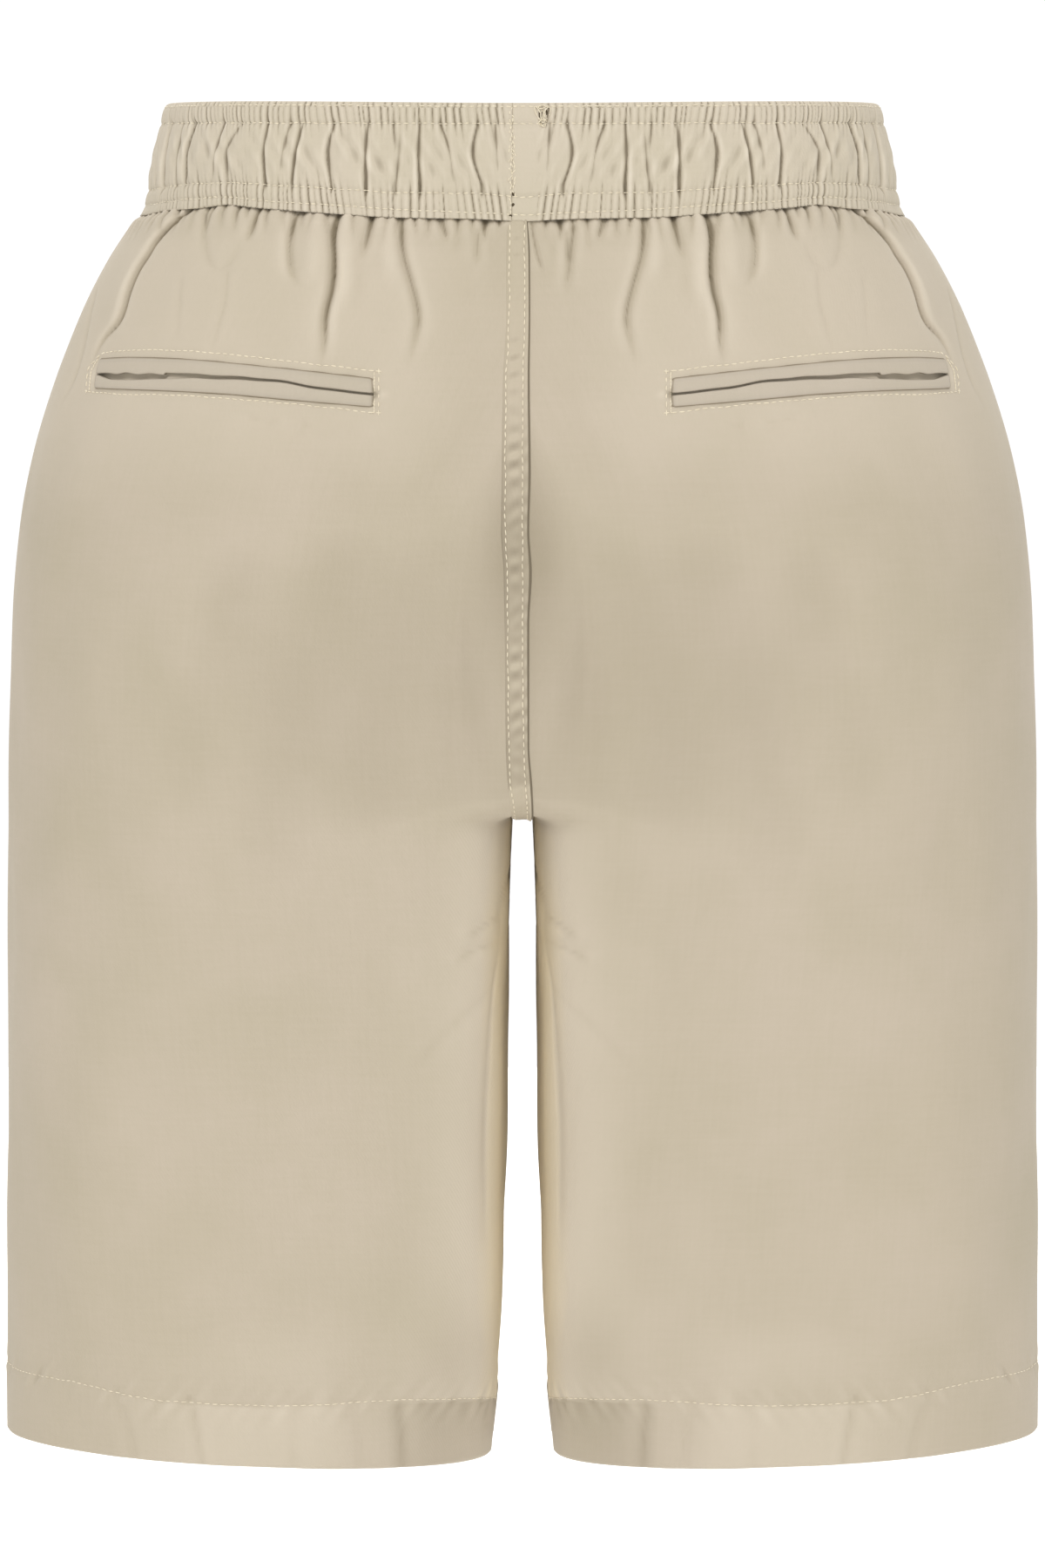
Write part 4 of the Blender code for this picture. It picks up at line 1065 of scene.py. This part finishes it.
def band_relief(face, distance, z):
    """How far the band's outer layer stands out from the form."""
    away = np.abs(distance)
    lowest, lower, upper = (band_line(name, distance) for name in ("lowest", "lower", "upper"))
    edge = band_edge(distance)
    in_casing = np.clip((z - lower) / (upper - lower), 0, 1)
    in_lower = np.clip((z - lowest) / (lower - lowest), 0, 1)
    in_upper = np.clip((z - upper) / (edge - upper), 0, 1)
    relief = CASING_PUFF * np.sin(np.pi * in_casing) ** 0.6
    relief = relief + CHANNEL_PUFF * (np.sin(np.pi * in_lower) + np.sin(np.pi * in_upper))

    share = gathered_share(distance)
    middle_of_lower, middle_of_upper = (lowest + lower) / 2, (upper + edge) / 2
    low_part = np.exp(-np.maximum(z - lower, 0) / PLEAT_FADE)
    high_part = np.exp(-np.maximum(upper - z, 0) / PLEAT_FADE)
    slant = PLEAT_SLANT * (1 + 0.9 * np.sin(away / (9 * MM)))
    low_pleats = pleats(VALLEYS[face, "lower"], away + slant * (middle_of_lower - z))
    high_pleats = pleats(VALLEYS[face, "upper"], away + slant * (middle_of_upper - z))
    pleated = low_part * (low_pleats - 0.8) + high_part * (high_pleats - 0.8)
    relief = relief + PLEAT_DEPTH * share * pleated
    for number, crease in enumerate(CREASES[face]):
        at = smooth(z / MM, CREASE_HEIGHTS, crease.places) * MM
        depth = smooth(z / MM, CREASE_HEIGHTS, crease.depths) * MM
        past = np.maximum(np.maximum(z - upper, lower - z), 0)
        depth = depth * np.exp(-past / THROUGH_CHANNELS)
        overlapping = (away - at) * (-1) ** number > 0
        width = crease.width * CREASE_WIDTH * np.where(overlapping, CREASE_OVERLAP, 1 / CREASE_OVERLAP)
        relief = relief - depth * np.exp(-((np.abs(away - at) / width) ** 1.1))
    soft = drape(distance, z, CASING_WAVES) * np.sin(np.pi * in_casing) * share
    # The rows of stitches and the joint lie in dents.
    rows = bell(z - lowest, 0.55 * MM) + bell(z - lower, 0.6 * MM) + bell(z - upper, 0.6 * MM)
    rows = rows + 0.6 * bell(z - edge, 0.5 * MM)
    joint = BAND_JOINT if face == BACK else 0
    seam = bell(distance - joint, 0.6 * MM)
    return relief + soft - 0.42 * MM * rows - 0.3 * MM * seam


# The band's section has its rolled-in lower edge, then each stretch of the outer layer between two
# lines, the folded upper edge, and the inner layer down to the bottom again. Each of the functions
# gives the heights of a row and how far it stands out, from distance_at(z), the distances of its
# points from the middle, and a lining's row lies inset from the skin's.
LIP = ((-1.3, 0.45), (-0.75, 0.02), (-0.30, -0.02))  # out and up from the lower edge, in millimetres
BAND_STRETCHES = (  # from one line to the next, and the rows between them
    ("bottom", "lowest", 4), ("lowest", "lower", 9), ("lower", "upper", 30), ("upper", "edge", 8),
)
ROLL_ROWS = 6
INNER_ROWS = 8


def band_height(line, distance):
    return band_edge(distance) if line == "edge" else band_line(line, distance)


def lip(face, distance_at, inset, out_mm, up_mm):
    bottom = band_line("bottom", distance_at(BAND_BOTTOM))
    at_edge = band_relief(face, distance_at(BAND_BOTTOM), bottom)
    return bottom + up_mm * MM + 0.5 * inset, at_edge + out_mm * MM - 0.3 * inset


def outer_layer(face, distance_at, inset, low, high, part):
    low_z, high_z = (band_height(line, distance_at(0.0)) for line in (low, high))
    z = low_z + (high_z - low_z) * part
    out = band_relief(face, distance_at(z), z)
    return z, (lowest_nearby(out, 3) - inset if inset else out)


def roll(face, distance_at, inset, angle):
    edge = band_edge(distance_at(0.0))
    outer = band_relief(face, distance_at(0.0), edge)
    across = (outer + BAND_THICKNESS) / 2
    out = outer - across + (across - inset) * math.cos(angle)
    return edge + (EDGE_DROP - inset) * math.sin(angle), out


def inner_layer(face, distance_at, inset, part):
    top = band_edge(distance_at(0.0))
    bottom = band_line("bottom", distance_at(0.0)) + 0.6 * MM
    z = top + (bottom - top) * part
    pleated = pleats(VALLEYS[face, "upper"], np.abs(distance_at(z))) * gathered_share(distance_at(z))
    return z, -BAND_THICKNESS - 0.5 * MM * pleated + inset


BandRow = namedtuple("BandRow", "layer place lined")


def band_rows():
    rows = [BandRow(lip, place, True) for place in LIP]
    for low, high, count in BAND_STRETCHES:
        rows += [BandRow(outer_layer, (low, high, k / count), k % 2 == 0) for k in range(count)]
    rows += [BandRow(roll, (angle,), True) for angle in np.linspace(0, math.pi, ROLL_ROWS)]
    return rows + [BandRow(inner_layer, (part,), True) for part in np.linspace(0, 1, INNER_ROWS + 1)[1:]]


def band_columns(face, side):
    """Shares of the way from the middle to the side seam, below 0 where the joint is past it."""
    back = BAND_JOINT - 0.05 * MM if side > 0 else -BAND_JOINT
    length = from_middle(face, 1, 0.0)
    first = back if face == BACK else HALF_GAP
    return np.linspace(first, length, round(length / BAND_COLUMN) + 1) / length


def band_round(columns, row, inset=0.0):
    """A row of the band, from the middle of the back to the side seam and on to the front's middle."""
    halves = []
    for face, share in columns.items():
        turned = np.where(share < 0, -1, 1)

        def distance_at(z):
            return turned * from_middle(face, np.abs(share), z)

        z, out = row.layer(face, distance_at, inset, *row.place)
        points = on_body(face, np.abs(share), z, out)
        points[:, 0] *= turned
        along = distance_at(z) if face == BACK else 2 * from_middle(face, 1, 0.0) - distance_at(z)
        halves.append((points, np.stack([along, z], axis=1), out))
    (back, back_flat, back_out), (front, front_flat, front_out) = halves
    points = np.concatenate([back[:-1], [(back[-1] + front[-1]) / 2], front[-2::-1]])
    flat = np.concatenate([back_flat[:-1], front_flat[::-1]])
    out = np.concatenate([back_out[:-1], front_out[::-1]])
    # Painted shade in the band's troughs and painted highlight on its crests, by depth below the neighbours.
    return Row(points, flat, (spread(out, 4) - out) / BAND_SHADE_DEPTH_SCALE)


def band_half(side_name, side, finish):
    columns = {face: band_columns(face, side) for face in (BACK, FRONT)}
    skin, lining = [], []
    for row in band_rows():
        skin.append(band_round(columns, row))
        if row.lined:
            inner = band_round(columns, row, BAND_CLOTH)
            lining.append(Row(*(values[::3] for values in inner)))
    return cloth_piece(f"waistband_cloth_{side_name}", side, skin, lining, finish)


# Colours: the face, then painted shade for troughs, painted highlight for crests, painted light.
band_twill = cotton_twill("cotton twill, waistband", "#bbb19e", "#6b5f4b", "#cbc1af", "#cbc1af")
for side_name, side in SIDES:
    band = band_half(side_name, side, band_twill)
    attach(band, "root")
    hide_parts(f"waistband_{side_name}")


# ------------------------------------------------------------------------------- topstitching
# Cotton-wrapped polyester thread, a little paler than the cloth, about 0.5 mm thick and eight or
# nine stitches to the inch. It runs in four rows round the band, twice down the felled seam, round
# each pocket with a bartack at each end, and once round each hem.

StitchLine = namedtuple("StitchLine", "points outward")


def stitch_geometry():
    """Geometry Nodes: one grain-shaped stitch every so often along each line, its back outward."""
    tree = bpy.data.node_groups.new("stitches along seam lines", "GeometryNodeTree")
    node = partial(add_node, tree)
    new_socket = tree.interface.new_socket
    new_socket("Seam lines", in_out="INPUT", socket_type="NodeSocketGeometry")
    for name in ("Spacing", "Length", "Thickness", "Lean"):
        new_socket(name, in_out="INPUT", socket_type="NodeSocketFloat")
    new_socket("Thread", in_out="INPUT", socket_type="NodeSocketMaterial")
    new_socket("Stitches", in_out="OUTPUT", socket_type="NodeSocketGeometry")

    given = node("NodeGroupInput")
    lines = node("GeometryNodeMeshToCurve", {"Mesh": given["Seam lines"]})["Curve"]
    spaced = {"Curve": lines, "Length": given["Spacing"]}
    places = node("GeometryNodeResampleCurve", spaced, mode="LENGTH")["Curve"]
    grain = node("GeometryNodeMeshUVSphere", {"Segments": 6, "Rings": 5, "Radius": 0.5})["Mesh"]
    sizes = {"X": given["Thickness"], "Y": given["Thickness"], "Z": given["Length"]}
    size = node("ShaderNodeCombineXYZ", sizes)["Vector"]
    stitch = node("GeometryNodeTransform", {"Geometry": grain, "Scale": size})["Geometry"]
    along = node("GeometryNodeInputTangent")["Tangent"]
    named = {"Name": "outward"}
    outward = node("GeometryNodeInputNamedAttribute", named, data_type="FLOAT_VECTOR")["Attribute"]
    axes = {"Primary Axis": along, "Secondary Axis": outward}
    turned = node("FunctionNodeAxesToRotation", axes, primary_axis="Z", secondary_axis="X")["Rotation"]
    either_way = {0: (-1, -1, -1), 1: (1, 1, 1), "Seed": 11}
    strayed = node("FunctionNodeRandomValue", either_way, data_type="FLOAT_VECTOR")["Value"]
    by_lean = {"Vector": strayed, "Scale": given["Lean"]}
    lean = node("ShaderNodeVectorMath", by_lean, operation="SCALE")["Vector"]
    turns = {"Rotation": turned, "Rotate By": lean}
    leaning = node("FunctionNodeRotateRotation", turns, rotation_space="LOCAL")["Rotation"]
    near_one = {0: (0.9, 0.85, 0.86), 1: (1.1, 1.15, 1.08), "Seed": 12}
    uneven = node("FunctionNodeRandomValue", near_one, data_type="FLOAT_VECTOR")["Value"]
    copies = {"Points": places, "Instance": stitch, "Rotation": leaning, "Scale": uneven}
    sewn = node("GeometryNodeInstanceOnPoints", copies)["Instances"]
    real = node("GeometryNodeRealizeInstances", {"Geometry": sewn})["Geometry"]
    thread = node("GeometryNodeSetMaterial", {"Geometry": real, "Material": given["Thread"]})["Geometry"]
    node("NodeGroupOutput", {"Stitches": thread})
    return tree


STITCHES = stitch_geometry()
THREAD_LIFT = 0.10 * MM
TWIST = 0.9 * MM  # size of the light and dark places along a thread


def sew(name, lines, thread, spacing=3.0 * MM, length=2.3 * MM, thickness=0.5 * MM, lean=0.1):
    """One piece with all the stitches along the lines."""
    points, outward, edges = [], [], []
    for line in lines:
        first = sum(len(p) for p in points)
        points.append(line.points)
        outward.append(line.outward)
        edges += [(first + k, first + k + 1) for k in range(len(line.points) - 1)]
    mesh = bpy.data.meshes.new(name)
    mesh.from_pydata(np.concatenate(points).tolist(), edges, [])
    ways = mesh.attributes.new("outward", "FLOAT_VECTOR", "POINT")
    ways.data.foreach_set("vector", np.concatenate(outward).astype(np.float32).ravel())
    guide = placed(name, mesh)
    modifier = guide.modifiers.new("stitches", "NODES")
    modifier.node_group = STITCHES
    identifiers = {item.name: item.identifier for item in STITCHES.interface.items_tree}
    values = {"Spacing": spacing, "Length": length, "Thickness": thickness, "Lean": lean, "Thread": thread}
    for socket, value in values.items():
        modifier[identifiers[socket]] = value
    evaluated = guide.evaluated_get(bpy.context.evaluated_depsgraph_get())
    made = bpy.data.meshes.new_from_object(evaluated)
    guide.modifiers.remove(modifier)
    guide.data = made
    made.shade_smooth()
    made.attributes.remove(made.attributes["outward"])
    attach(guide, "root")


def sewn_line(side, place, out):
    """A line of stitches whose points place(out) gives, lying on cloth that stands out so far."""
    points, beyond = (place(out + THREAD_LIFT + by) for by in (0, MM))
    return StitchLine(points * (side, 1, 1), (beyond - points) / MM * (side, 1, 1))


def cloth_line(face, side, distance, z, out):
    """A line on a piece above the hips, by its distances, heights and how far it stands out."""
    return sewn_line(side, partial(at_distance, face, distance, z), out)


def polyester_thread(name, hex_code):
    """Spun thread: a soft, low gloss, paler than the cloth where it stands proud."""
    finish = new_finish(name, {"Roughness": 0.62, "Sheen Weight": 0.2})
    tree = finish.node_tree
    node = partial(add_node, tree)
    place = node("ShaderNodeTexCoord")["Object"]
    twist = node("ShaderNodeTexNoise", {"Vector": place, "Scale": 1 / TWIST, "Detail": 1.0})["Fac"]
    dark, light = ((*(c * by for c in colour(hex_code)[:3]), 1) for by in (0.90, 1.06))
    blend = {"Factor": twist, "A": dark, "B": light}
    tone = node("ShaderNodeMix", blend, data_type="RGBA")["Result"]
    feed(tree, tree.nodes["Principled BSDF"], {"Base Color": tone})
    return finish


thread = polyester_thread("spun polyester thread, cream", "#dcd1b8")


def wander(distance, seed, by=0.12 * MM):
    """How far a row of stitches strays from its line."""
    return drape(distance, distance * 0, Waves(seed, 0.016, 0.1, by))


band_lines = []
for side_name, side in SIDES:
    for face in (BACK, FRONT):
        first = (BAND_JOINT * side + 1.2 * MM) if face == BACK else 1.2 * MM
        distance = np.arange(first, from_middle(face, 1, 0.0), 0.9 * MM)
        for seed, line in enumerate(("lowest", "lower", "upper", "edge")):
            z = band_height(line, distance) + wander(distance, 200 + seed)
            band_lines.append(cloth_line(face, side, distance, z, band_relief(face, distance, z)))
sew("waistband_stitching", band_lines, thread, length=2.2 * MM)

seam_lines = []
for across in (0.0, 1.0):
    stations = np.arange(3 * MM, SEAM_ALONG[-1] - 3 * MM, 1.0 * MM)
    place = across + wander(stations, 210 + int(across), 0.02)
    points, outward, _ = fell_points(stations, place, THREAD_LIFT)
    seam_lines.append(StitchLine(points, outward))
sew("felled_seam_stitching", seam_lines, thread, spacing=3.1 * MM)

POCKET_INNER = ((54.6, -79.5), (54.7, -95.2))
BARTACK_INNER = ((56.3, -80.5), (56.4, -94.8))
POCKET_OUTER = ((179, -72.8), (183, -74.5), (188.4, -78.5), (188.2, -83), (187, -87.5))
BARTACK_OUTER = ((182.6, -75.5), (185.8, -79.5), (184.8, -86.5))


def every_millimetre(path):
    """Distances and heights along a path, one a millimetre."""
    corners = np.array(path) * MM
    along = way_along(corners)
    stations = np.linspace(0, along[-1], max(2, round(along[-1] / MM)))
    return (np.interp(stations, along, corners[:, k]) for k in (0, 1))


def pocket_line(side_name, side, distance, z):
    out = panel_relief(BACK, side_name, share_at(BACK, distance, z), z)
    return cloth_line(BACK, side, distance, z, out)


pocket_lines, bartacks = [], []
for side_name, side in SIDES:
    for path, ends in ((POCKET_TOP, (54.6, 179)), (POCKET_FOOT, (54.7, 187))):
        distance = np.linspace(*ends, 130) * MM
        z = path_height(path, distance) + wander(distance, 220, 0.1 * MM)
        pocket_lines.append(pocket_line(side_name, side, distance, z))
    for path in (POCKET_INNER, POCKET_OUTER):
        pocket_lines.append(pocket_line(side_name, side, *every_millimetre(path)))
    for path in (BARTACK_INNER, BARTACK_OUTER):
        bartacks.append(pocket_line(side_name, side, *every_millimetre(path)))
sew("pocket_stitching", pocket_lines, thread, spacing=2.9 * MM)
sew("pocket_bartacks", bartacks, thread, spacing=1.3 * MM, length=1.5 * MM)

hem_lines = []
for side_name, side in SIDES:
    for face in (BACK, FRONT):
        share = np.linspace(0.002, 0.998, 300)
        z = path_height(HEM_STITCH, from_middle(face, share, -0.48))
        z = z + wander(from_middle(face, share, z), 230, 0.1 * MM)
        out = panel_relief(face, side_name, share, z)
        hem_lines.append(sewn_line(side, partial(on_body, face, share, z), out))
sew("hem_stitching", hem_lines, thread, spacing=3.1 * MM, thickness=0.42 * MM)


# The band's joint is sewn over twice by hand guidance, so its stitches stray from side to side.
joint_lines = []
for offset, low, high in ((-0.5, -19.0, 16.5), (0.7, -12.5, 10.0), (-0.1, -9.0, 21.0)):
    z = np.arange(low, high, 0.5) * MM
    strays = Waves(240 + int(high), 0.0045, 0.1, 0.55 * MM)
    at = BAND_JOINT + offset * MM + drape(z, z * 0, strays)
    joint_lines.append(cloth_line(BACK, 1, at, z, band_relief(BACK, at, z)))
sew(
    "joint_stitching", joint_lines, thread, spacing=1.7 * MM, length=1.8 * MM, thickness=0.45 * MM, lean=0.5,
)

# The thread's ends are left as a small knot and loose loops at the right of the joint.
Loop = namedtuple("Loop", "at height wide tall turn")
LOOPS = (
    Loop(5.9, 18.9, 1.5, 5.6, 0.42),
    Loop(9.3, 18.8, 2.1, 5.0, -0.38),
    Loop(7.6, 17.6, 1.5, 4.6, 0.10),
    Loop(7.7, 15.4, 3.0, 2.0, 0.25),
    Loop(7.9, 14.6, 1.7, 1.5, -0.60),
    Loop(7.3, 21.3, 2.6, 1.3, 0.15),
)
loops = []
for loop in LOOPS:
    angle = np.linspace(0, 1.75 * math.pi, 40)
    across = loop.wide / 2 * np.cos(angle)
    upright = loop.tall / 2 * np.sin(angle)
    at = (loop.at + across * math.cos(loop.turn) - upright * math.sin(loop.turn)) * MM
    z = (loop.height + across * math.sin(loop.turn) + upright * math.cos(loop.turn)) * MM
    raised = (0.25 + 0.2 * np.sin(3 * angle)) * MM
    loops.append(cloth_line(BACK, 1, at, z, band_relief(BACK, at, z) + raised))
sew("thread_knot", loops, thread, spacing=0.55 * MM, length=0.95 * MM, thickness=0.42 * MM)


# ------------------------------------------------------------------------------- needle holes
# Dark dots of painted shade for three open holes beside the band's joint at centre back, where the
# ends of the elastic were tacked and the needle cut the yarns, and for two slits that the knotted
# thread has pulled open.

NeedleHole = namedtuple("NeedleHole", "from_middle height wide tall")
NEEDLE_HOLES = (
    NeedleHole(-3.4, -11.9, 1.3, 1.5),
    NeedleHole(-3.5, -16.2, 1.3, 1.5),
    NeedleHole(-4.5, -20.4, 1.3, 1.3),
    NeedleHole(6.4, 18.4, 0.7, 2.6),
    NeedleHole(9.1, 19.2, 0.9, 2.2),
)
HOLE_BULGE = 0.2 * MM

holes = bmesh.new()
for hole in NEEDLE_HOLES:
    distance, z = np.array([hole.from_middle * MM]), np.array([hole.height * MM])
    out = band_relief(BACK, distance, z)
    centre = Vector(at_distance(BACK, distance, z, out)[0])
    dot = bmesh.ops.create_uvsphere(holes, u_segments=14, v_segments=8, radius=0.5)
    size = Vector((hole.wide * MM, 2 * HOLE_BULGE, hole.tall * MM))
    for vertex in dot["verts"]:
        vertex.co = centre + vertex.co * size
hole_mesh = bpy.data.meshes.new("needle_holes")
holes.to_mesh(hole_mesh)
holes.free()
hole_mesh.shade_smooth()
needle_holes = placed("needle_holes", hole_mesh)
in_shadow = {"Base Color": colour("#4a3f2e"), "Roughness": 1.0}
hole_mesh.materials.append(new_finish("cotton twill, cut yarns in shadow", in_shadow))
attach(needle_holes, "root")


# ------------------------------------------------------------------------------- stage and camera
# A pale floor in a white room. A broad lamp above lights the shorts from the front, a weaker one
# fills from lower down, and a third brightens the floor behind them.

FLOOR = -0.95
floor_mesh = bpy.data.meshes.new("floor")
floor_mesh.from_pydata([(-6, -6, FLOOR), (6, -6, FLOOR), (6, 6, FLOOR), (-6, 6, FLOOR)], [], [(0, 1, 2, 3)])
floor = placed("floor", floor_mesh)
white = {"Base Color": colour("#fbfbfa"), "Roughness": 0.9}
floor_mesh.materials.append(new_finish("white paper, matt", white))

# The room is white before and behind the shorts, dimmer at either side, so that the legs round
# away softly, and brighter overhead.
world = bpy.data.worlds.new("white room")
bpy.context.scene.world = world
world.use_nodes = True
ROOM_LIGHT, SIDE_LIGHT = 1.03, 0.58
OVERHEAD = 1.5  # times as bright straight up as at the floor
sky = world.node_tree
sky_node = partial(add_node, sky)
parts = sky_node("ShaderNodeSeparateXYZ", {"Vector": sky_node("ShaderNodeTexCoord")["Generated"]})
sideways = sky_node("ShaderNodeMath", {0: parts["X"]}, operation="ABSOLUTE")["Value"]
to_side = {"Value": sideways, "From Min": 0.25, "From Max": 0.90, "To Min": ROOM_LIGHT, "To Max": SIDE_LIGHT}
level = sky_node("ShaderNodeMapRange", to_side)["Result"]
to_top = {"Value": parts["Z"], "From Min": 0.0, "To Min": 1.0, "To Max": OVERHEAD}
upwards = sky_node("ShaderNodeMapRange", to_top)["Result"]
strength = sky_node("ShaderNodeMath", {0: level, 1: upwards}, operation="MULTIPLY")["Value"]
feed(sky, sky.nodes["Background"], {"Color": (1, 1, 1, 1), "Strength": strength})

AIM = Vector((0, 0, -0.244))
DISTANCE = 3.0
ELEVATION = math.radians(3.5)
LENS = 173.34

Softbox = namedtuple("Softbox", "name place size power")
SOFTBOXES = (
    Softbox("key", (-0.4, -2.4, 2.8), 2.0, 27),
    Softbox("fill", (0.3, -3.4, -0.3), 2.0, 12),
    Softbox("over the floor", (0.0, 4.6, 2.6), 3.0, 120),
)
for box in SOFTBOXES:
    light = bpy.data.lights.new(box.name, "AREA")
    light.shape = "SQUARE"
    light.size = box.size
    light.energy = box.power
    lamp = placed(box.name, light)
    lamp.location = box.place
    lamp.rotation_euler = (AIM - lamp.location).to_track_quat("-Z", "Y").to_euler()

lens = bpy.data.cameras.new("camera")
lens.lens = LENS
camera = placed("camera", lens)
camera.location = AIM + DISTANCE * Vector((0, -math.cos(ELEVATION), math.sin(ELEVATION)))
camera.rotation_euler = (AIM - camera.location).to_track_quat("-Z", "Y").to_euler()
bpy.context.scene.camera = camera
bpy.context.scene.view_settings.view_transform = "Standard"
